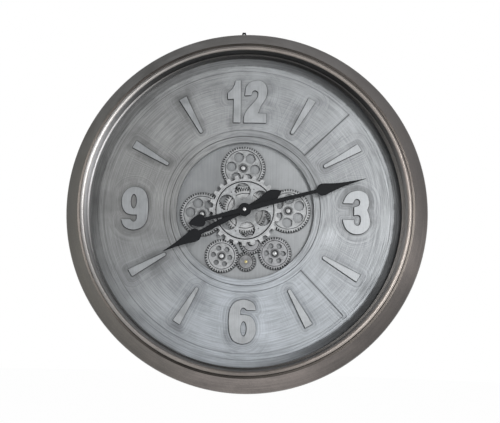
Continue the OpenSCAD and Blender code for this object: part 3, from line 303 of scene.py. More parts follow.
def rounded(points, radius, steps=3):
    """Corners of a closed outline replaced by small curves. A point's third value is its own radius."""
    out = []
    n = len(points)
    for i, p in enumerate(points):
        r = p[2] if len(p) > 2 else radius
        a, b, c = (np.array(points[j][:2], float) for j in ((i - 1) % n, i, (i + 1) % n))
        la, lc = np.linalg.norm(a - b), np.linalg.norm(c - b)
        d = min(r, 0.45 * la, 0.45 * lc)
        if d < 1e-4:
            out.append(tuple(b))
            continue
        p0, p2 = b + (a - b) / la * d, b + (c - b) / lc * d
        for k in range(steps + 1):
            t = k / steps
            out.append(tuple((1 - t) ** 2 * p0 + 2 * t * (1 - t) * b + t * t * p2))
    return out


def lathe_mesh(profile, count, at=CENTRE):
    """Closed section of (radius, height) turned about an axis along f."""
    n = len(profile)
    verts, faces = [], []
    for k in range(count):
        a = 2 * pi * k / count
        j = (k + 1) % count
        verts += [(at[0] + r * sin(a), at[1] + r * cos(a), f) for r, f in profile]
        faces += [(k * n + i, k * n + (i + 1) % n, j * n + (i + 1) % n, j * n + i) for i in range(n)]
    return from_lists(verts, faces)


def plate_mesh(loops, base, top, bevel, res=2):
    """Flat plate with holes and rounded edges. The first loop is the outline."""
    cu = bpy.data.curves.new("plate", "CURVE")
    cu.dimensions = "2D"
    cu.fill_mode = "BOTH"
    cu.extrude = (top - base) / 2 - bevel
    cu.bevel_depth = bevel
    cu.bevel_resolution = res
    cu.offset = -bevel
    for loop in loops:
        sp = cu.splines.new("POLY")
        sp.points.add(len(loop) - 1)
        for q, p in zip(sp.points, loop):
            q.co = (p[0], p[1], 0, 1)
        sp.use_cyclic_u = True
    ob = linked("plate", cu)
    bpy.context.view_layer.update()
    me = bpy.data.meshes.new_from_object(ob.evaluated_get(bpy.context.evaluated_depsgraph_get()))
    bpy.data.objects.remove(ob)
    bpy.data.curves.remove(cu)
    me.transform(FRONT @ Matrix.Translation((0, 0, (top + base) / 2)))
    bm = bmesh.new()
    bm.from_mesh(me)
    bmesh.ops.remove_doubles(bm, verts=bm.verts, dist=1e-7)
    bm.to_mesh(me)
    bm.free()
    flat = [abs(p.normal.y) < 0.995 for p in me.polygons]
    me.polygons.foreach_set("use_smooth", flat)
    me.set_sharp_from_angle(angle=radians(50))
    me.polygons.foreach_set("use_smooth", flat)
    return me


def joined(name, meshes, mat, body, **kw):
    """One piece from several meshes."""
    bm = bmesh.new()
    for me in meshes:
        bm.from_mesh(me)
    me = bpy.data.meshes.new("mesh")
    bm.to_mesh(me)
    bm.free()
    for old in meshes:
        bpy.data.meshes.remove(old)
    return finish_mesh(name, me, mat, body, **kw)


def circle(at, r, n):
    turns = [radians(360 * k / n) for k in range(n)]
    return [(at[0] + r * sin(a), at[1] + r * cos(a)) for a in turns]


def arc(at, radii, first, last, steps):
    """Points of an elliptic arc between two angles from its first axis."""
    turns = [radians(first + (last - first) * k / steps) for k in range(steps + 1)]
    return [(at[0] + radii[0] * cos(a), at[1] + radii[1] * sin(a)) for a in turns]


def smooth(pts, n):
    """The same smooth curve through points as the solids have."""
    p = np.array(pts, float)
    out = []
    for i in range(len(p) - 1):
        a, b, c, d = p[max(i - 1, 0)], p[i], p[i + 1], p[min(i + 2, len(p) - 1)]
        for k in range(n):
            t = k / n
            out.append((2 * b + (c - a) * t + (2 * a - 5 * b + 4 * c - d) * t * t
                        + (3 * b - a - 3 * c + d) * t ** 3) / 2)
    out.append(p[-1])
    return [tuple(q) for q in out]


def turned(loop, turn, move=(0, 0)):
    """Loop turned clockwise and then moved."""
    c, s = cos(radians(turn)), sin(radians(turn))
    return [(x * c + y * s + move[0], -x * s + y * c + move[1]) for x, y in loop]


def dress(mat, *nodes):
    """Gives carried-over nodes their material."""
    for node in nodes:
        for s in NODES[node].material_slots:
            s.material = mat


# Faces whose normal has less than this share along f are side walls.
UPRIGHT = 0.35


def painted_side_shade(ob, mat, floor=0.0, inner=None):
    """Gives a plate's upright side walls, and faces no higher than a floor, a darker material as painted
    shade.

    Walls inside a circle, given as (place, radius, material), have another one."""
    ob.data.materials.append(mat)
    if inner:
        at, reach, other = inner
        ob.data.materials.append(other)
    for p in ob.data.polygons:
        x, f, y = p.center.x / MM, -p.center.y / MM, p.center.z / MM
        wall = abs(p.normal.y) < UPRIGHT
        if wall or f < floor:
            p.material_index = 1
        if wall and inner and hypot(x - at[0], y - at[1]) < reach:
            p.material_index = 2


# Sizes shared with the solids

FRAME_R, BACK_ROUND_R, BELLY_ROUND_R, SHELL_T = 300.0, 10.0, 8.0, 3.0
WALL_GAP, BACK_UP, BELLY_UP, BELLY_RISE = 6.0, 9.0, 28.0, 14.0
BACK_LEDGE_R, BACK_SEAT_R = 275.0, 288.5
BAND_OUT_R, BAND_IN_R, BAND_FOOT_UP = 297.14, 273.04, 37.2
STEPS_UP, STEP_W, STEP_H = 73.9, 2.0, 1.2
BEAD_C, BEAD_UP, BEAD_R = 264.54, 74.5, 3.7
LIP_R, FOOT_R, FOOT_W = 260.84, 256.84, 11.5
DIAL_UP, DIAL_T, WELL_R = 38.0, 2.0, 113.8
DIAL_EDGE_R = FOOT_R + 10
PANEL_T, PANEL_FROM, PANEL_TO = 0.6, 136.0, 406.0
PANEL_IN, PANEL_OUT = WELL_R + 21, FOOT_R - 22

# Frame

LEFT_TURN = 280


def turned_with_painted_light(name, col, base, table, rough, metallic=1.0, brushed=0.1, mottle=0.08, grain=0.06, slope=(1.0, 1.0),
         bump=0.000006, left=(1.0, 1.0, 1.0), fade=None, gloss=0.5):
    """Turned metal with light and shade painted round the clock by a table, with brush marks, mottling and
    fine grain.

    Slope is its tone at the band's outer and inner edge, and left its tint on the clock's left side."""
    m = Mat(name)
    r, d = m.polar()
    marks = m.round_brush(CENTRE, 3.0, 700.0)
    slow = m.noise(26.0, 4.0)
    fine = m.noise(420.0, 3.0, 0.7)
    tone = m.vary(marks, 1 - brushed, 1 + brushed, slow, -mottle, mottle, fine, -grain, grain)
    # The lobes of the table are painted light and shade by side.
    tone = m.times(tone, m.ramp(r, BAND_OUT_R * MM, BAND_IN_R * MM, *slope), m.lobes(d, base, table))
    if fade:
        tone = m.times(tone, m.ramp(r, *fade))
    tinted = [c * share for c, share in zip(col, left)]
    shade = m.mix(m.lobe(d, LEFT_TURN, 1.0), (*col, 1), (*tinted, 1))
    return m.finished(marks, bump, Base_Color=m.scale_colour(shade, tone), Metallic=metallic,
                      Roughness=m.vary(slow, rough - 0.05, rough + 0.05, marks, -0.04, 0.04),
                      Specular_IOR_Level=gloss)


# Painted light and shade round the band: lighter at the bottom and on the right, darker at the upper left.
pewter = turned_with_painted_light("pewter", (0.375, 0.330, 0.307), 0.235,
              [(175, 8, 0.36), (95, 2, 0.13), (101, 40, 0.18), (131, 14, -0.10), (228, 8, 0.05),
               (325, 6, -0.14), (272, 8, 0.06)], 0.40, brushed=0.17, mottle=0.18, grain=0.12,
              slope=(0.84, 1.08), left=(0.94, 1.0, 0.90))
# Painted highlights on the bead at the right and the left, and painted shade at the bottom.
bead_pewter = turned_with_painted_light("bead_pewter", (0.39, 0.35, 0.32), 0.72,
                   [(95, 4, 0.4), (128, 10, 0.3), (290, 10, 1.5), (178, 20, -0.2)], 0.42,
                   metallic=0.8, brushed=0.06, bump=0.000001, left=(0.97, 1.05, 1.12))
# Painted shade in the steps between band and bead: paler on the left and right, darkest at the lower left.
step_painted_shade = turned_with_painted_light("step_painted_shade", (0.105, 0.094, 0.085), 0.8,
                 [(130, 2, 0.2), (266, 3, 2.4), (95, 8, 0.8), (214, 5, -0.72)], 0.45)
# Painted light and shade on the inner wall: near black at the top, lit on the right and the left, and darker
# towards the ledge.
inner_pewter = turned_with_painted_light("inner_pewter", (0.98, 0.94, 0.91), 0.014,
                    [(100, 7, 0.55), (150, 6, 0.12), (215, 2, 0.08), (250, 2, 0.16), (283, 12, 0.68)], 0.42,
                    metallic=0.15, left=(1.0, 1.03, 1.08), fade=(0.2592, 0.2612, 0.75, 1.2), gloss=0.25)
# Painted light and shade on the wall below the ledge: dark, lit on the right and a little on the left.
inner_low = turned_with_painted_light("inner_low", (0.98, 0.93, 0.87), 0.02, [(112, 3, 0.85), (165, 3, 0.08), (288, 3, 0.26)],
                 0.45, metallic=0.1, left=(1.0, 1.05, 1.14))
# Painted highlight on the ledge ring, brightest on the left and weaker on the right.
seat_painted_highlight = turned_with_painted_light("seat_painted_highlight", (1.0, 0.94, 0.88), 0.03, [(290, 9, 0.97), (112, 3, 0.3)], 0.3, metallic=0.1,
                   left=(1.0, 1.05, 1.12))
FRAME_METALS = (pewter, inner_pewter, bead_pewter, step_painted_shade, inner_low)
LEDGE_UP, LEDGE_ROUND, LEDGE_SUNK = 55.0, 2.0, 0.3
LEDGE_R = LIP_R - (LIP_R - FOOT_R) * (BEAD_UP - LEDGE_UP) / (BEAD_UP - DIAL_UP)


def frame_profile():
    """Closed section of the hollow frame."""
    pts = arc((FRAME_R - BACK_ROUND_R, BELLY_UP), (BACK_ROUND_R, BELLY_UP - WALL_GAP), -90, 0, 12)
    pts += arc((FRAME_R - BELLY_ROUND_R, BELLY_UP), (BELLY_ROUND_R, BELLY_RISE), 0, 50, 12)[1:]
    pts += [
        (BAND_IN_R, STEPS_UP - 2 * STEP_H, 0.5), (BAND_IN_R, STEPS_UP - STEP_H, 0.25),
        (BAND_IN_R - STEP_W, STEPS_UP - STEP_H, 0.25), (BAND_IN_R - STEP_W, STEPS_UP, 0.35),
        (BAND_IN_R - 2 * STEP_W, STEPS_UP, 0.35), (BAND_IN_R - 2 * STEP_W, STEPS_UP - 2, 0.2),
    ]
    pts += arc((BEAD_C, BEAD_UP), (BEAD_R, BEAD_R), -8, 188, 16)
    pts += [
        (LEDGE_R, LEDGE_UP), (FOOT_R, DIAL_UP), (FOOT_R + FOOT_W, DIAL_UP),
        (FOOT_R + FOOT_W, DIAL_UP + SHELL_T), (FOOT_R + SHELL_T, DIAL_UP + SHELL_T),
        (LIP_R + SHELL_T, STEPS_UP - 5), (BAND_IN_R - SHELL_T, STEPS_UP - 5), (BAND_OUT_R - 4, BAND_FOOT_UP),
        (FRAME_R - SHELL_T, BELLY_UP), (FRAME_R - BACK_ROUND_R, BACK_UP + SHELL_T),
        (BACK_LEDGE_R, BACK_UP + SHELL_T), (BACK_LEDGE_R, BACK_UP), (BACK_SEAT_R, BACK_UP),
        (BACK_SEAT_R, WALL_GAP),
    ]
    return rounded(pts, 0)


def frame_metal_at(r, f):
    """The metal that a place of the frame's section shows."""
    if r < LIP_R + 0.6 and f < BEAD_UP + 1.0:
        return inner_pewter if f > LEDGE_UP - 1 else inner_low
    if f > BEAD_UP - 2 and r < BEAD_C + BEAD_R + 0.05:
        return bead_pewter
    return step_painted_shade if r < BAND_IN_R - 0.3 and f > STEPS_UP - 3 else pewter


rim = finish_mesh("frame_shell", lathe_mesh(frame_profile(), 384), pewter, ROOT, sharp=38,
                  replaces=("frame_rim",), slot="pewter")
for mat in FRAME_METALS[1:]:
    rim.data.materials.append(mat)
for poly in rim.data.polygons:
    c = poly.center / MM
    poly.material_index = FRAME_METALS.index(frame_metal_at(hypot(c.x, c.z), -c.y))
ledge = arc((LEDGE_R + LEDGE_SUNK, LEDGE_UP), (LEDGE_ROUND + LEDGE_SUNK, LEDGE_ROUND), 90, 270, 12)
finish_mesh("ledge_ring", lathe_mesh(ledge, 360), seat_painted_highlight, ROOT, sharp=50)

# Numbers and bars, their outlines in shares of a digit's width and height

DIGIT_W, DIGIT_H, DIGIT_T, DIGIT_REACH, SUNK = 44.5, 72.0, 3.0, 182.84, 0.2
BAR_FROM, BAR_LONG, BAR_W, BAR_TIP = 148.84, 67.0, 13.5, 5.5
SIX_OUT = [(0.99, 0.761), (0.93, 0.885), (0.78, 0.965), (0.52, 1), (0.22, 0.94), (0.05, 0.79), (0, 0.58),
           (0, 0.42), (0.06, 0.2), (0.22, 0.055), (0.52, 0), (0.8, 0.06), (0.96, 0.2), (1, 0.33),
           (0.95, 0.5), (0.82, 0.61), (0.62, 0.65), (0.418, 0.652)]
SIX_HOOK = [(0.418, 0.743), (0.46, 0.795), (0.533, 0.815), (0.6, 0.795), (0.656, 0.761)]
SIX_SLOT = (0.547, 0.341), (0.112, 0.168)
THREE_OUT = [(0, 0.335), (0.02, 0.26), (0.12, 0.12), (0.33, 0.02), (0.6, 0), (0.85, 0.07), (0.99, 0.2),
             (1, 0.33), (0.96, 0.46), (0.9, 0.553), (0.95, 0.65), (0.96, 0.76), (0.88, 0.91), (0.7, 0.985),
             (0.5, 1), (0.25, 0.95), (0.08, 0.83), (0, 0.7)]
THREE_TOP = [(0.38, 0.7), (0.42, 0.77), (0.494, 0.803), (0.59, 0.79), (0.627, 0.733), (0.6, 0.67),
             (0.52, 0.64), (0.407, 0.622)]
THREE_LOW = [(0.407, 0.425), (0.47, 0.438), (0.56, 0.44), (0.63, 0.415), (0.65, 0.36), (0.646, 0.28),
             (0.6, 0.21), (0.53, 0.195), (0.45, 0.22), (0.418, 0.27), (0.418, 0.33)]
ONE = [(0.466, 0), (0.466, 0.56), (0.03, 0.55), (0, 0.69)]
ONE_FLAG = [(0, 0.7), (0.3, 0.79), (0.48, 0.88), (0.56, 0.98), (0.62, 1)]
ONE_STEM = [(1, 1), (1, 0)]
TWO_FOOT = [(0, 0), (0.98, 0), (0.98, 0.22)]
TWO_OUT = [(0.62, 0.225), (0.74, 0.4), (0.93, 0.57), (1, 0.75), (0.93, 0.9), (0.75, 0.985), (0.5, 1),
           (0.25, 0.955), (0.08, 0.85), (0.03, 0.64)]
TWO_IN = [(0.31, 0.65), (0.36, 0.735), (0.46, 0.765), (0.58, 0.74), (0.61, 0.68), (0.56, 0.58),
          (0.38, 0.46), (0.15, 0.31), (0.03, 0.186), (0, 0.08)]
CURVE = 5


def sized(shares, w, dx=0.0):
    return [(p[0] * w + dx, p[1] * DIGIT_H) for p in shares]


def clean(loop):
    """Drops points that lie on each other."""
    out = []
    for p in loop:
        if not out or dist(p, out[-1]) > 0.05:
            out.append(tuple(p))
    return out[:-1] if dist(out[0], out[-1]) < 0.05 else out


def six():
    """Outlines of a number, each in a list with its slots, and its width."""
    out = sized(smooth(SIX_OUT, CURVE) + smooth(SIX_HOOK, CURVE), DIGIT_W)
    slot = sized(arc(*SIX_SLOT, 0, 360, 32)[:-1], DIGIT_W)
    return [[clean(out), slot]], DIGIT_W


def three():
    out = smooth(THREE_OUT, CURVE) + smooth(THREE_TOP, CURVE) + smooth(THREE_LOW, CURVE)
    return [[clean(sized(out, DIGIT_W))]], DIGIT_W


def twelve():
    w1, w2, gap = 0.5 * DIGIT_W, 0.86 * DIGIT_W, 0.12 * DIGIT_W
    one = sized(ONE + smooth(ONE_FLAG, CURVE) + ONE_STEM, w1)
    two = sized(TWO_FOOT + smooth(TWO_OUT, CURVE) + smooth(TWO_IN, CURVE), w2, w1 + gap)
    return [[clean(one)], [clean(two)]], w1 + w2 + gap


def placed(items, width, turn, spin):
    """A number's outlines centred at a turn of the dial, and spun about that place."""
    return [[turned([(x - width / 2, y - DIGIT_H / 2) for x, y in loop], spin, spot(DIGIT_REACH, turn))
             for loop in item] for item in items]


def bar_loop(turn):
    """Tapered bar with a round inner end."""
    tip, w = BAR_TIP / 2, BAR_W / 2
    pts = [(-w, BAR_FROM + BAR_LONG), (w, BAR_FROM + BAR_LONG)]
    return turned(pts + arc((0, BAR_FROM + tip), (tip, tip), 0, -180, 9), turn)


def raised_mesh(item, turn, bevel):
    """Solid number or bar, let a little into the dial or its panel."""
    base = DIAL_UP + (0.0 if PANEL_TO - 360 < turn < PANEL_FROM else PANEL_T)
    return plate_mesh(item, base - SUNK, base + DIGIT_T, bevel, 3)


def cast(node, meshes):
    painted_side_shade(joined("cast_" + node, meshes, number_metal, ROOT, replaces=(node,), slot="numeral_steel"),
               number_side_shade)


# Its table paints light and shade by side: darker on the left and right, a little lighter at the bottom.
number_metal = metal("number_metal", (0.43, 0.448, 0.462), 0.42, metallic=0.5, brush="line", turn=90,
                     brushed=0.07, mottle=0.09, grime_and_shade=0.3, reach=0.002, bump=0.00001,
                     table=[(275, 1.5, -0.16), (75, 2, -0.10), (180, 2, 0.02)])
# Painted shade on the side walls of numbers and bars.
number_side_shade = metal("number_side_shade", (0.10, 0.104, 0.108), 0.5, metallic=0.4, mottle=0.2, grime_and_shade=0.4)
# Outlines with their slots, for the distances that the dial's material follows.
dial_items = []
for digit, shape, spin in ((12, twelve(), 0), (3, three(), 0), (6, six(), 0), (9, six(), 180)):
    turn = digit % 12 * 30
    items = placed(*shape, turn, spin)
    cast("numeral_%d" % digit, [raised_mesh(sum(items, []), turn, 0.6)])
    dial_items += items
bar_turns = [turn for turn in range(30, 360, 30) if turn % 90]
cast("hour_bars", [raised_mesh([bar_loop(turn)], turn, 0.5) for turn in bar_turns])
dial_items += [[bar_loop(turn)] for turn in bar_turns]

# Dial

# Engraved rings, and how bright each one's line is; above one it is a painted highlight.
RING_LINES = (WELL_R + 10.5, FOOT_R - 12, FOOT_R - 17.5)
RING_TONES = (0.45, 0.95, 1.18)
LINE_HALF, LINE_DEEP = 0.45, 0.5
# Shift of the thin shadow beside numbers and bars, and the greatest distance that is stored.
LEE = np.array([0.9, 0.7])
FAR, ITEM_REACH = 60.0, 110.0
# Where the dark border and the frame's shade start and end at the dial's outer edge.
BORDER_FROM, BORDER_TO, SHADE_FROM, SHADE_TO = 241.5, 247.0, 244.2, 250.0
# Smudges and rubbed patches of the dial, listed: turn, reach, size and depth, below zero where paler.
# Some of these patches are painted light and shade, not smudges.
WEAR_AND_PAINTED_LIGHT = [
    (207, 165, 38, 0.34), (121, 238, 32, 0.28), (237, 162, 38, 0.26), (65, 248, 28, 0.22),
    (326, 165, 28, 0.24), (147, 200, 30, 0.20), (273, 228, 36, 0.22), (257, 172, 32, 0.18),
    (348, 200, 30, 0.18), (302, 226, 28, 0.20), (106, 143, 26, -0.34), (288, 188, 40, -0.26),
    (277, 140, 34, -0.26), (310, 178, 38, -0.20), (47, 218, 38, -0.24), (167, 200, 36, -0.16),
]


def loop_distance(p, loop):
    """Signed distance of many points to a closed loop, below zero inside."""
    q = np.array(loop)
    best = np.full(len(p), 1e9)
    inside = np.zeros(len(p), bool)
    for a, b in zip(q, np.roll(q, -1, axis=0)):
        ab = b - a
        t = np.clip(((p - a) @ ab) / max(ab @ ab, 1e-9), 0, 1)
        best = np.minimum(best, np.linalg.norm(p - (a + t[:, None] * ab), axis=1))
        cross = (a[1] > p[:, 1]) != (b[1] > p[:, 1])
        x = a[0] + (p[:, 1] - a[1]) * ab[0] / (ab[1] if abs(ab[1]) > 1e-12 else 1e-12)
        inside ^= cross & (p[:, 0] < x)
    return np.where(inside, -best, best)


def item_distance(p):
    """Signed distance to the nearest number or bar."""
    best = np.full(len(p), FAR)
    for loop, *slots in dial_items:
        q = np.array(loop)
        mid = (q.min(axis=0) + q.max(axis=0)) / 2
        near = np.linalg.norm(p - mid, axis=1) < ITEM_REACH
        d = loop_distance(p[near], loop)
        for slot in slots:
            d = np.maximum(d, -loop_distance(p[near], slot))
        best[near] = np.minimum(best[near], d)
    return best


def ray_distance(p):
    """Distance to the panel's two straight edges."""
    best = np.full(len(p), FAR)
    for turn in (PANEL_FROM, PANEL_TO):
        d = spot(1, turn)
        t = np.clip(p @ d, PANEL_IN, PANEL_OUT)
        best = np.minimum(best, np.linalg.norm(p - t[:, None] * d, axis=1))
    return best


def panel_edge_distance(p):
    """Distance to the outline of the raised panel."""
    r = np.linalg.norm(p, axis=1)
    a = np.degrees(np.arctan2(p[:, 0], p[:, 1])) % 360
    on = ~((a > PANEL_TO - 360) & (a < PANEL_FROM))
    arcs = np.where(on, np.minimum(abs(r - PANEL_IN), abs(r - PANEL_OUT)), FAR)
    return np.minimum(arcs, ray_distance(p))


def mark(me):
    """Stores the distances, in mm, that the dial's material follows."""
    co = np.empty(len(me.vertices) * 3)
    me.vertices.foreach_get("co", co)
    p = co.reshape(-1, 3)[:, (0, 2)] / MM
    distances = {"item_d": item_distance(p), "edge_d": panel_edge_distance(p), "ray_d": ray_distance(p),
                 "lee_d": item_distance(p + LEE)}
    for name, vals in distances.items():
        me.attributes.new(name, "FLOAT", "POINT").data.foreach_set("value", vals.astype(np.float32))


def grooved(rs):
    """Radii and heights of the dial's face, with a small groove at each engraved ring."""
    out = [(r, DIAL_UP) for r in rs if all(abs(r - q) > LINE_HALF + 0.15 for q in RING_LINES)]
    for q in RING_LINES:
        out += [(q - LINE_HALF, DIAL_UP), (q - LINE_HALF * 0.4, DIAL_UP - LINE_DEEP),
                (q + LINE_HALF * 0.4, DIAL_UP - LINE_DEEP), (q + LINE_HALF, DIAL_UP)]
    return sorted(out)


def face_rows():
    """Section of the dial plate with its engraved face, and its underside as one face."""
    under = DIAL_UP - DIAL_T
    rows = grooved([*np.arange(WELL_R, FOOT_R + 9, 1.9), DIAL_EDGE_R])
    rows = [(max(r, WELL_R + 0.4), f) for r, f in rows]
    return [(WELL_R, under), (WELL_R + 0.02, DIAL_UP - 0.5), *rows, (DIAL_EDGE_R, under), (WELL_R, under)]


def panel_rows():
    """Section of the raised panel, its edges a little sloped."""
    foot, shoulder, top = DIAL_UP - 0.1, DIAL_UP + 0.35, DIAL_UP + PANEL_T
    flat = [(r, top) for r in np.linspace(PANEL_IN + 1, PANEL_OUT - 1, 52)]
    return [(PANEL_IN, foot), (PANEL_IN, shoulder), (PANEL_IN + 0.25, top), *flat,
            (PANEL_OUT - 0.25, top), (PANEL_OUT, shoulder), (PANEL_OUT, foot)]


def polar_sheet(rows, turns):
    """Section of (radius, height) swept through the turns, without end walls."""
    n = len(rows)
    full = abs(turns[-1] - turns[0] - 360) < 1e-6
    cols = turns[:-1] if full else turns
    verts = [(r * sin(radians(a)), r * cos(radians(a)), f) for a in cols for r, f in rows]
    c = len(cols)
    faces = [(j * n + i, j * n + i + 1, ((j + 1) % c) * n + i + 1, ((j + 1) % c) * n + i)
             for j in range(c if full else c - 1) for i in range(n - 1)]
    me = bpy.data.meshes.new("mesh")
    me.from_pydata(verts, [], faces)
    me.transform(FRONT)
    if me.polygons[0].normal.y > 0:
        me.flip_normals()
    return me


def wear_and_painted_light(m, mid):
    """Light left by the smudges and rubbed patches, and by patches of painted light and shade."""
    level = 1.0
    for turn, reach, size, depth in WEAR_AND_PAINTED_LIGHT:
        away = m.sway(mid, 0.03, m.polar(spot(reach, turn))[0])
        level = m.math("MULTIPLY_ADD", m.ramp(away, 0.0, size * MM, 1.0, 0.0), -depth, level)
    return level


def nearest_edge(m, item, ray):
    """Distance to the nearer of the raised items and the panel's straight edges, without a crease between."""
    by_ray = m.ramp(m.math("SUBTRACT", ray, item), -4.0, 4.0, 1.0, 0.0)
    return m.plus(m.times(ray, by_ray), m.times(item, m.less(by_ray)))


def brush_lines(m, way, slow, mid, on_panel):
    """Brush marks that run round the dial, and along the raised edges near these."""
    across = m.made("CombineXYZ", m.times(m.sway(mid, 1.2, way), 0.58))
    follow = m.noise(1.0, 3.0, at=m.vec("ADD", across, m.vec("MULTIPLY", m.coords(), (14.0, 0.0, 14.0))))
    near = m.times(m.ramp(m.plus(way, m.vary(slow, -9.0, 9.0)), 36.0, 8.0, 0.0, 0.9),
                   m.ramp(mid, 0.36, 0.60, 0.45, 1.0), on_panel)
    arcs = m.round_brush(CENTRE, 3.2, 480.0)
    return m.plus(m.times(m.ramp(follow, 0.34, 0.66), near), m.times(m.ramp(arcs, 0.32, 0.68), m.less(near)))


def rim_light(m, r, d, mid):
    """Light left at the outer edge by the dark border and the frame's shade."""
    border = m.times(m.ramp(m.facing(d, 20), -0.8, -0.3), m.lobes(d, 0.36, [(60, 1, 0.28)]),
                     m.ramp(m.sway(mid, 0.006, r), BORDER_FROM * MM, BORDER_TO * MM))
    reach = m.sway(mid, 0.003, m.lobes(d, r, [(88, 2, 0.0026), (160, 10, 0.0024)]))
    shade = m.times(m.lobes(d, 0.0, [(75, 1, 0.45), (128, 6, 0.5), (154, 14, 0.34)]),
                    m.ramp(reach, SHADE_FROM * MM, SHADE_TO * MM))
    return m.times(m.less(border), m.less(shade))


def outline_light(m, item, slow):
    """Light left by patchy darkening round the numbers and bars, by painted shade in a thin line at their
    foot, and by their thin shadow.
    """
    patchy = m.ramp(m.noise(14.0, 3.0), 0.38, 0.62)
    halo = m.ramp(m.plus(item, m.vary(slow, -5.0, 5.0)), 0.0, 14.0, 1.0, 0.0)
    thin = m.ramp(m.stored("lee_d"), -0.1, 0.9, 0.74, 0.0)
    return m.times(m.less(thin), m.ramp(item, 0.3, 1.8, 0.7, 1.0),
                   m.less(m.times(halo, m.math("MULTIPLY_ADD", patchy, 0.27, 0.08))))


def line_light(m, r, ray):
    """Light left in the panel's edges and the engraved rings."""
    rings = [m.ramp(m.from_ring(r, q), 0.0003, 0.0010, tone, 1.0) for q, tone in zip(RING_LINES, RING_TONES)]
    return m.times(m.ramp(m.stored("edge_d"), 0.3, 1.2, 0.66, 1.0), m.ramp(ray, 0.5, 1.3, 0.5, 1.0),
                   m.ramp(ray, 0.0, 7.0, 0.84, 1.0), *rings)


def dial_material():
    """Brushed steel, worn and grimy, with light and shade painted by side, at the frame's edge and round
    raised parts, and dark lines where it is raised or engraved.
    """
    m = Mat("dial_steel_worn")
    r, d = m.polar()
    item, ray = m.stored("item_d"), m.stored("ray_d")
    slow = m.noise(22.0, 4.0)
    mid = m.noise(90.0, 3.0)
    fine = m.round_brush(CENTRE, 6.0, 1500.0)
    on_panel = m.ramp(r, (PANEL_IN - 0.3) * MM, (PANEL_IN + 1.7) * MM)
    lines = brush_lines(m, nearest_edge(m, item, ray), slow, mid, on_panel)
    tone = m.plus(m.ramp(lines, 0.0, 1.0, 0.845, 1.125), m.vary(slow, -0.11, 0.12, fine, -0.04, 0.04))
    inner = m.times(m.less(on_panel), m.lobe(d, 32, 3))
    # Painted light and shade by side: darker on the left and right, lighter at the bottom. It is also darker
    # inside the panel's inner edge towards the upper right.
    tone = m.times(tone,
                   m.lobes(d, 1.0, [(275, 1.5, -0.32), (75, 2, -0.14), (180, 2, 0.12)]),
                   wear_and_painted_light(m, mid), m.math("MULTIPLY_ADD", inner, -0.26, 1.0), rim_light(m, r, d, mid))
    cool = m.mix(m.lobes(d, 0.5, [(180, 1.5, 0.5), (285, 1.5, -0.5)]),
                 (0.397, 0.403, 0.401, 1), (0.381, 0.409, 0.438, 1))
    dark = m.times(outline_light(m, item, slow), line_light(m, r, ray))
    col = m.scale_colour(m.scale_colour(cool, tone), dark)
    return m.finished(m.math("MULTIPLY_ADD", fine, 0.3, lines), 0.00010, Metallic=0.45,
                      Base_Color=m.grimed_and_shaded(col, 0.003, 0.3, 0.9, 0.78),
                      Roughness=m.plus(m.vary(slow, 0.40, 0.5), m.ramp(lines, 0.0, 1.0, 0.05, -0.03)))


dial_metal = dial_material()
face = polar_sheet(face_rows(), np.linspace(0, 360, 721))
mark(face)
finish_mesh("dial_face", face, dial_metal, ROOT, sharp=40, replaces=("dial_plate",), slot="dial_steel")
panel = polar_sheet(panel_rows(), np.linspace(PANEL_FROM, PANEL_TO, 541))
mark(panel)
finish_mesh("dial_panel", panel, dial_metal, ROOT, sharp=40, slot="dial_steel")

# Gear train

M, PRESSURE, LASH, TOOTH_TOP = 1.35, 20.0, 0.12, 0.9
GEAR_UP, GEAR_TOP, WEB_DEEP = 30.0, 34.0, 0.8
TEETH = {"centre": 54, "top": 52, "right": 52, "left": 52, "idler": 26, "drive": 22,
         "low_left": 39, "low_right": 38}
# Each wheel, the one that it meshes with and its turn from that one's axis.
MESHES = (
    ("top", "centre", -3.5), ("right", "centre", 89.1), ("left", "centre", 264.3), ("idler", "centre", 168.4),
    ("drive", "idler", 193.2), ("low_left", "drive", 281.9), ("low_right", "idler", 112.9),
)


def pitch_r(z):
    return M * z / 2


def involute(a):
    """Involute function of an angle in degrees."""
    return degrees(tan(radians(a))) - a


def gear_loop(wheel, slim=0.16, root=1.6):
    """Outline of a fine gear, its gaps a little wider and deeper than the solid's so that they show."""
    at, z, phase = WHEELS[wheel]
    base = pitch_r(z) * cos(radians(PRESSURE))
    flank = []
    for r in (pitch_r(z) - root * M, pitch_r(z), pitch_r(z) + TOOTH_TOP * M):
        tilt = involute(degrees(acos(min(1, base / max(r, base)))))
        flank.append((r, 90 / z - degrees((LASH / 2 + slim) / pitch_r(z)) + involute(PRESSURE) - tilt))
    tooth = [(r, -half) for r, half in flank] + flank[::-1]
    pts = []
    for i in range(z):
        for r, half in tooth:
            a = radians(phase + i * 360 / z + half)
            pts.append((at[0] + r * cos(a), at[1] + r * sin(a)))
    return pts


def wheel_train():
    """Place, teeth and phase of each wheel, one after the other from the centre."""
    wheels = {"centre": (np.zeros(2), TEETH["centre"], 0)}
    for name, partner, turn in MESHES:
        (at, z1, phase), z2 = wheels[partner], TEETH[name]
        beta = 90 - turn
        wheels[name] = (at + spot(M * (z1 + z2) / 2, turn), z2, beta + 180 - ((phase - beta) * z1 + 180) / z2)
    return wheels


WHEELS = wheel_train()

# Well


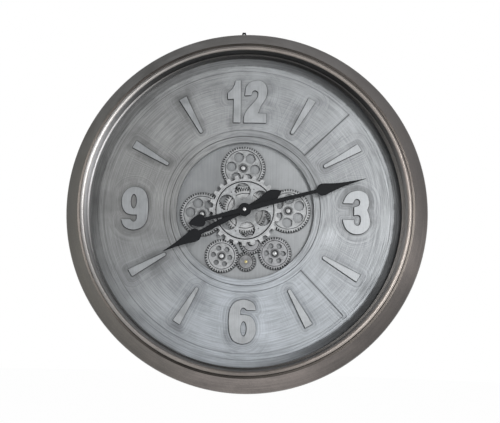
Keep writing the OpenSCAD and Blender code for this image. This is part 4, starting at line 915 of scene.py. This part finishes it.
def well_material():
    """Soft streaked metal, darker towards the upper left, with painted shade in a ring under each wheel's
    teeth.
    """
    m = Mat("well_metal")
    streak = m.line_brush(4, 14.0, 500.0)
    slow = m.noise(25.0, 4.0)
    tone = m.vary(streak, 0.94, 1.05, slow, -0.08, 0.08)
    tone = m.times(tone, m.lobes(m.polar()[1], 1.0, [(300, 1.5, -0.2)]))
    rings = [m.ramp(m.from_ring(m.polar(WHEELS[name][0])[0], pitch_r(TEETH[name])), 0.0016, 0.0030, 0.36, 1.0)
             for name, _, _ in MESHES]
    col = m.scale_colour(m.scale_colour((0.385, 0.400, 0.411, 1), tone), m.times(*rings))
    return m.finished(streak, 0.00001, Base_Color=m.grimed_and_shaded(col, 0.008, 0.2, 0.9, 0.80), Metallic=0.4,
                      Roughness=m.vary(slow, 0.42, 0.52))


dress(well_material(), "well_cup")

# Show gears

# Painted shade on the wheels' side walls and lower faces, lighter on the walls of holes and windows.
gear_side_shade = metal("gear_side_shade", (0.075, 0.078, 0.082), 0.5, metallic=0.4, mottle=0.25, grime_and_shade=0.3)
hole_side_shade = metal("hole_side_shade", (0.26, 0.265, 0.27), 0.45, metallic=0.4, mottle=0.15, grime_and_shade=0.2, reach=0.001)
SILVER, PALE = (0.43, 0.443, 0.45), (0.47, 0.482, 0.49)
SLATE, DARK = (0.37, 0.376, 0.388), (0.30, 0.304, 0.31)
# Lower rings of a wheel stop a step under its top.
STEP_TOP, WEB_TOP = GEAR_TOP - 2, GEAR_TOP - 0.4
# Faces of a wheel under this height take the painted shade of its sides.
PAINTED_SHADE_BELOW = GEAR_TOP - 1.6
HUB_R, HUB_BORE_R, SEAT_R, AXLE_R, WEB_BORE_R = 7.6, 6.1, 6.4, 2.2, 5.8
# Radius of a wheel's six windows, and their distance from its axis.
SIDE_WINDOWS, LOW_WINDOWS = (8.3, 19.7), (4.3, 13.7)


def gear_metal(name, col, at, rough=0.36, **more):
    """Turned steel of a wheel."""
    return metal(name, col, rough, metallic=0.45, brush="round", at=at, brushed=0.10, grime_and_shade=0.3, reach=0.0015,
                 mottle_scale=140.0, **more)


def ring(at, outer, inner, base, top, bevel, sides, windows=()):
    """Flat ring, its outer and inner circle with this many sides."""
    loops = [circle(at, outer, sides[0]), circle(at, inner, sides[1]), *windows]
    return plate_mesh(loops, base, top, bevel)


def holes(at, reach, r, turn):
    """Six round holes about a place."""
    return [circle(np.array(at) + spot(reach, turn + 360 * i / 6), r, 40) for i in range(6)]


def cut_piece(node, parts, mat, body, slot, **sides):
    """A wheel's parts as one piece with painted shade on its sides, in place of its node."""
    painted_side_shade(joined("cut_" + node, parts, mat, body, replaces=(node,), slot=slot), gear_side_shade, **sides)


def show_gear(wheel, node, body, col, rim_r, windows, turn, web_top):
    """Fine wheel with a rim, a web with six windows, a hub ring and a seat for its screw."""
    at = WHEELS[wheel][0]
    hole_r, reach = windows
    parts = [
        ring(at, rim_r - 0.8, WEB_BORE_R, GEAR_UP, web_top, 0.25, (96, 40), holes(at, reach, hole_r, turn)),
        ring(at, rim_r + 0.4, rim_r - 1.2, GEAR_UP, STEP_TOP, 0.2, (96, 96)),
        plate_mesh([gear_loop(wheel), circle(at, rim_r, 96)], GEAR_UP, GEAR_TOP, 0.22),
        ring(at, HUB_R, HUB_BORE_R, GEAR_UP + 0.5, GEAR_TOP + 0.15, 0.3, (48, 40)),
        ring(at, SEAT_R, AXLE_R, GEAR_UP, STEP_TOP, 0.1, (40, 32)),
    ]
    cut_piece(node, parts, gear_metal(node + "_metal", col, at, hub=0.48), body, "gear_steel",
              floor=PAINTED_SHADE_BELOW, inner=(at, rim_r - 0.3, hole_side_shade))


for wheel, turn in (("top", -23.2), ("right", 3.8), ("left", -21.2)):
    show_gear(wheel, "gear_" + wheel, wheel + "_wheel", SILVER, 30.5, SIDE_WINDOWS, turn, GEAR_TOP - WEB_DEEP)
show_gear("low_left", "gear_lower_left", "lower_left_wheel", PALE, 22.1, LOW_WINDOWS, -21.2, GEAR_TOP)
show_gear("low_right", "gear_lower_right", "lower_right_wheel", SLATE, 21.6, LOW_WINDOWS, -29.2, GEAR_TOP)


def small_wheel(wheel, node, body, col, rings):
    """Small toothed wheel, its inside given as rows of (outer radius, inner radius, top)."""
    at, z, _ = WHEELS[wheel]
    toothed = [gear_loop(wheel), circle(at, pitch_r(z) * 0.8, 64)]
    parts = [plate_mesh(toothed, GEAR_UP, GEAR_TOP, 0.2)]
    parts += [ring(at, outer, inner, GEAR_UP, top, 0.2, (64, 40)) for outer, inner, top in rings]
    cut_piece(node, parts, gear_metal(node + "_metal", col, at), body, "dark_gear_steel", floor=PAINTED_SHADE_BELOW)


small_wheel("idler", "idler_gear", "idler", SLATE,
            [(13.0, 5.8, WEB_TOP), (14.6, 12.0, STEP_TOP), (5.9, 2.1, STEP_TOP)])
small_wheel("drive", "drive_pinion", "drive", DARK,
            [(10.9, 4.3, WEB_TOP), (12.3, 9.0, STEP_TOP), (4.4, 1.5, GEAR_TOP + 0.6)])

# Wheels about the hands' axis

FINE_RIM, HUB_HOLE_R = 29.5, 9.0
COARSE_UP, COARSE_TOP, COARSE_R, COARSE_TOOTH, COARSE_TEETH = 37.0, 41.0, 59.1, 6.0, 24
DISC_UP, DISC_TOP, DISC_R, DISC_TURN = 40.0, 41.4, 47.8, -7.7
GROOVE_R, FLOOR_TOP = DISC_R + 1.0, DISC_UP - 0.9
DISC_WINDOWS = holes(CENTRE, 32.4, 13.3, DISC_TURN)
PIN_HOLES = holes(CENTRE, 37.6, 0.9, DISC_TURN + 30)
WINDOW_WALLS = (CENTRE, DISC_R - 1, hole_side_shade)


def coarse_loop():
    """Outline of the coarse wheel, four corners to a tooth."""
    pitch = 360 / COARSE_TEETH
    root_r = COARSE_R - COARSE_TOOTH
    pts = []
    for i in range(COARSE_TEETH):
        for r, share in ((root_r, -0.58), (COARSE_R, -0.36), (COARSE_R, 0.36), (root_r, 0.58)):
            a = radians(i * pitch + share * pitch / 2)
            pts.append((r * cos(a), r * sin(a)))
    return rounded(pts, 0.7, 2)


# Its table paints shade towards the right of the clock.
fine_centre_metal = gear_metal("fine_centre_metal", (0.55, 0.56, 0.565), CENTRE, table=[(112, 5, -0.45)])
coarse_pale = gear_metal("coarse_metal", (0.50, 0.511, 0.52), CENTRE, rough=0.42)
disc_pale = metal("disc_metal", (0.46, 0.475, 0.485), 0.42, metallic=0.4, brush="round", brushed=0.08,
                  grime_and_shade=0.35, reach=0.002, mottle_scale=190.0, fade=(0.017, 0.028, 0.62, 1.0))
cut_piece("centre_fine_gear", [
    plate_mesh([gear_loop("centre", 0.3, 2.6), circle(CENTRE, FINE_RIM, 96)], GEAR_UP, GEAR_TOP, 0.22),
    ring(CENTRE, FINE_RIM - 0.9, HUB_HOLE_R, GEAR_UP, WEB_TOP, 0.25, (96, 48)),
    ring(CENTRE, FINE_RIM + 0.4, FINE_RIM - 1.5, GEAR_UP, STEP_TOP, 0.2, (96, 96)),
    ring(CENTRE, 21.4, 20.0, GEAR_UP + 1, GEAR_TOP, 0.25, (72, 72)),
], fine_centre_metal, "cluster", "dark_gear_steel", floor=PAINTED_SHADE_BELOW)
cut_piece("coarse_gear", [
    plate_mesh([coarse_loop(), circle(CENTRE, GROOVE_R, 128)], COARSE_UP, COARSE_TOP, 0.35),
    ring(CENTRE, GROOVE_R + 1.9, GROOVE_R, COARSE_UP + 1, COARSE_TOP + 0.35, 0.35, (128, 128)),
    ring(CENTRE, GROOVE_R + 0.3, HUB_HOLE_R, COARSE_UP, FLOOR_TOP, 0.2, (128, 48), DISC_WINDOWS),
], coarse_pale, "cluster", "gear_steel", floor=FLOOR_TOP + 0.1, inner=WINDOW_WALLS)
cut_piece("front_disc", [
    ring(CENTRE, DISC_R - 0.9, HUB_HOLE_R, DISC_UP - 0.8, DISC_TOP, 0.3, (128, 48), DISC_WINDOWS + PIN_HOLES),
], disc_pale, "cluster", "gear_steel", inner=WINDOW_WALLS)
dress(gear_metal("hub_metal", SILVER, CENTRE), "cluster_hub")

# Screws, axles and small metal parts

chrome = metal("bright_screw", (0.80, 0.80, 0.80), 0.22, metallic=0.8, brushed=0.04, mottle=0.05, grime_and_shade=0.3,
               reach=0.002, bump=0.000004)
head_metal = metal("screw_head", (0.60, 0.61, 0.615), 0.34, metallic=0.4, brushed=0.05, grime_and_shade=0.3,
                   reach=0.001, bump=0.00001)
brass = metal("worn_brass", (0.70, 0.60, 0.30), 0.35, metallic=0.5, brushed=0.06, grime_and_shade=0.3, bump=0.000006)
zinc = metal("zinc", (0.46, 0.47, 0.48), 0.38, metallic=0.8, brushed=0.06, mottle=0.12, grime_and_shade=0.5,
             bump=0.00001)


def dome(r, base, top, at):
    """Low domed head."""
    domed = (top - base) * 0.55
    crown = [(r, base)] + arc((0, top - domed), (r, domed), 0, 80, 8)
    return lathe_mesh([(0.01, base), *crown, (0.01, top)], 40, at)


heads = [dome(3.6, GEAR_TOP - 1.8, GEAR_TOP + 0.6, WHEELS[name][0])
         for name, _, _ in MESHES if name != "drive"]
joined("domed_screws", heads, head_metal, ROOT, replaces=("axle_screws",), slot="bright_screw", sharp=50)
cap = dome(2.5, GEAR_TOP + 0.3, GEAR_TOP + 1.7, WHEELS["drive"][0])
joined("shaft_cap", [cap], brass, "drive", sharp=50)
dress(metal("axle_dark", (0.12, 0.12, 0.125), 0.4, grime_and_shade=0.6), "axle_posts")
dress(brass, "gear_bush", "bush_nut", "motor_shaft", "minute_arbor", "hour_pipe")
dress(zinc, "back_screws", "dial_screws", "well_screws", "spacer_posts", "hanger_rivets", "small_screws",
      "bush_washer", "gearbox_case", "motor_can", "battery_contacts", "cell_contacts")

# Hands

# Half an outline, in shares of the length and of half the width.
MINUTE = [(0.055, 0.42), (0.34, 0.36), (0.57, 0.3), (0.6, 0.5), (0.615, 0.82), (0.645, 1), (0.68, 0.87),
          (0.73, 0.62), (0.8, 0.37), (0.9, 0.17), (1, 0.03)]
MINUTE_TAIL = [(0.12, 0.42), (0.45, 0.34), (0.69, 0.3), (0.71, 0.55), (0.74, 0.95), (0.79, 1.05),
               (0.86, 0.88), (0.93, 0.5), (1, 0.03)]
HOUR = [(0.075, 0.43), (0.35, 0.4), (0.53, 0.34), (0.555, 0.62), (0.58, 0.92), (0.61, 1), (0.65, 0.92),
        (0.72, 0.67), (0.81, 0.39), (0.9, 0.2), (1, 0.03)]
HOUR_TAIL = [(0.17, 0.43), (0.42, 0.56), (0.62, 0.84), (0.72, 0.93), (0.82, 0.8), (0.92, 0.42), (1, 0.03)]
HAND_T, HOUR_UP, MINUTE_UP = 1.6, 49.0, 53.0
BOSS_R, MINUTE_TURN, HOUR_TURN = 10.6, 74.6, 241.7
hand_black = plain("hand_black", (0.006, 0.007, 0.009), 0.6, gloss=0.25, vary=0.15, grain=1200.0,
                   bump=0.00001, grime_and_shade=0.2)


def hand_outline(tip, tail, tip_len, tail_len, w):
    """Blade, boss and tail as one outline."""
    blade = [(p[1] * w / 2, p[0] * tip_len) for p in smooth(tip, 6)]
    back = [(p[1] * w / 2, -p[0] * tail_len) for p in smooth(tail, 6)]
    side = [p for p in back[::-1] if p[1] < -BOSS_R * 0.93]
    side += arc(CENTRE, (BOSS_R, BOSS_R), -64, 64, 24)
    side += [p for p in blade if p[1] > BOSS_R * 0.93]
    return clean(side + [(-x, y) for x, y in side[::-1]])


def hand(body, outline, turn, hole_r, up):
    blade = plate_mesh([turned(outline, turn), circle(CENTRE, hole_r, 40)], up, up + HAND_T, 0.35)
    finish_mesh(body + "_blade", blade, hand_black, body, replaces=(body + "_hand",), slot="hand_black")


def nut_profile(base):
    return rounded([(0.01, base), (3.2, base, 0.2), (3.2, base + 1.3, 0.3), (2.75, base + 2.5, 0.9),
                    (1.6, base + 3.3, 0.8), (0.01, base + 3.4)], 0, 4)


hand("minute", hand_outline(MINUTE, MINUTE_TAIL, 204, 95, 19.8), MINUTE_TURN, 2.4, MINUTE_UP)
hand("hour", hand_outline(HOUR, HOUR_TAIL, 151, 68, 21.4), HOUR_TURN, 2.9, HOUR_UP)
finish_mesh("cap_nut", lathe_mesh(nut_profile(MINUTE_UP + HAND_T), 64), chrome, "minute", sharp=32,
            replaces=("hand_nut",), slot="bright_screw")

# Back

dress(plain("back_black", (0.035, 0.035, 0.037), 0.55, vary=0.2, grain=350.0, bump=0.00006), "back_panel")
dress(plain("case_plastic", (0.022, 0.022, 0.024), 0.5, vary=0.15, grain=1500.0),
      "battery_box", "battery_cover", "power_switch", "movement_case", "movement_cover")
dress(plain("white_plastic", (0.62, 0.60, 0.54), 0.45, vary=0.06, grain=1500.0, bump=0.00002),
      "switch_slider", "minute_wheel", "setting_wheel")
dress(plain("bumper_rubber", (0.018, 0.018, 0.018), 0.75, vary=0.2, grain=900.0, bump=0.00008),
      "wall_bumpers", "movement_washer")
dress(plain("hanger_black", (0.02, 0.02, 0.022), 0.4, metallic=0.3, vary=0.2, grain=500.0),
      "hanger_plate", "hanging_ring")
dress(plain("cell_skin", (0.03, 0.16, 0.07), 0.3, vary=0.08, grain=300.0, bump=0.000004, coat=0.4),
      "battery_cells", "movement_cell")
dress(plain("board_green", (0.02, 0.10, 0.04), 0.4, vary=0.15, grain=400.0), "movement_board")
dress(metal("coil_copper", (0.50, 0.22, 0.10), 0.3, brush="line", turn=90, brushed=0.3), "movement_coil")
dress(plain("lead_red", (0.28, 0.02, 0.02), 0.35, vary=0.1, grain=600.0), "power_leads")

# Floor, background, light and camera

# Brightness of the unseen room in front, beside and behind, and how much brighter it is on the right.
ROOM_FRONT, ROOM_SIDE, ROOM_RIGHT = 0.10, 0.34, 0.04
FLOOR_Z, FLOOR_R, FLOOR_GLOW = -0.78, 9, 0.985
# Place, size and power of each lamp. All aim at the clock's middle.
LAMPS = (
    ("key", (0.84, -2.34, 0.28), (0.4, 1.2), 23.5), ("side", (1.75, -0.75, -0.25), (0.15, 0.6), 3),
    ("left", (-1.3, -2.0, 0.3), (0.8, 1.0), 7), ("top", (0.1, -0.6, 2.3), (1.6, 0.8), 4),
    ("behind", (0.3, 2.4, 1.0), (1.4, 1.4), 8),
)
# The photo's camera, fitted to the clock's rings: angles in degrees, and the lens in pixels of the photo.
CAM_YAW, CAM_PITCH, CAM_ROLL = 3.7, -6.2, 1.55
CAM_AT, CAM_SHIFT = (0.0398, -1.5696, -0.1781), (0.0822, 0.0100)
PHOTO_W_PX, LENS_PX, SENSOR_W = 500, 932.6, 36


def background():
    """White for the camera and, behind the clock, for reflections too. The rest is a room, dim in front."""
    world = bpy.data.worlds.new("studio")
    bpy.context.scene.world = world
    world.use_nodes = True
    n = Nodes(world.node_tree)
    n.t.nodes.clear()
    split = n.node("SeparateXYZ")
    n.put(split.inputs[0], n.node("TexCoord").outputs["Generated"])
    right, back, _ = split.outputs
    level = n.math("MULTIPLY_ADD", right, ROOM_RIGHT, n.ramp(back, -0.8, 0.1, ROOM_FRONT, ROOM_SIDE))
    room = n.made("Background", (0.98, 0.98, 1, 1), level)
    white_bg = n.made("Background", (1, 1, 1, 1), 1.0)
    camera_ray, mirrored = n.rays()
    seen = n.math("MAXIMUM", camera_ray, n.times(mirrored, n.ramp(back, 0.2, 0.7)))
    n.put(n.node("OutputWorld").inputs[0], n.made("MixShader", seen, room, white_bg))


def floor():
    """Pale floor, shown white, that keeps the clock's shadow."""
    bpy.ops.mesh.primitive_circle_add(vertices=64, radius=FLOOR_R, fill_type="NGON", location=(0, 0, FLOOR_Z))
    ob = bpy.context.object
    ob.name = "floor"
    m = Mat("floor_pale")
    m.set(Base_Color=(0.86, 0.86, 0.86, 1), Roughness=0.8)
    glow = m.made("Emission", None, 1.0)
    seen = m.times(m.math("MAXIMUM", *m.rays()), FLOOR_GLOW)
    mixed = m.made("MixShader", seen, m.b.outputs[0], glow)
    m.put(m.t.nodes["Material Output"].inputs[0], mixed)
    ob.data.materials.append(m.m)


def aimed(name, data, place, way, roll=0.0):
    """New object at a place that looks along a way."""
    ob = linked(name, data)
    ob.location = place
    ob.rotation_mode = "QUATERNION"
    ob.rotation_quaternion = way.to_track_quat("-Z", "Y") @ Quaternion((0, 0, 1), roll)
    return ob


def lamp(name, place, size, watts):
    d = bpy.data.lights.new(name, "AREA")
    d.shape = "RECTANGLE"
    d.size, d.size_y = size
    d.energy = watts
    aimed(name, d, place, -Vector(place))


def camera():
    yaw, pitch = radians(CAM_YAW), radians(CAM_PITCH)
    back = Vector((sin(yaw) * cos(pitch), -cos(yaw) * cos(pitch), sin(pitch)))
    cam = bpy.data.cameras.new("camera")
    cam.sensor_width = SENSOR_W
    cam.lens = LENS_PX / PHOTO_W_PX * SENSOR_W
    cam.shift_x, cam.shift_y = CAM_SHIFT
    bpy.context.scene.camera = aimed("camera", cam, CAM_AT, -back, radians(CAM_ROLL))


background()
floor()
camera()
for name, place, size, watts in LAMPS:
    lamp(name, place, size, watts)
bpy.context.scene.view_settings.view_transform = "Standard"

bpy.context.view_layer.update()
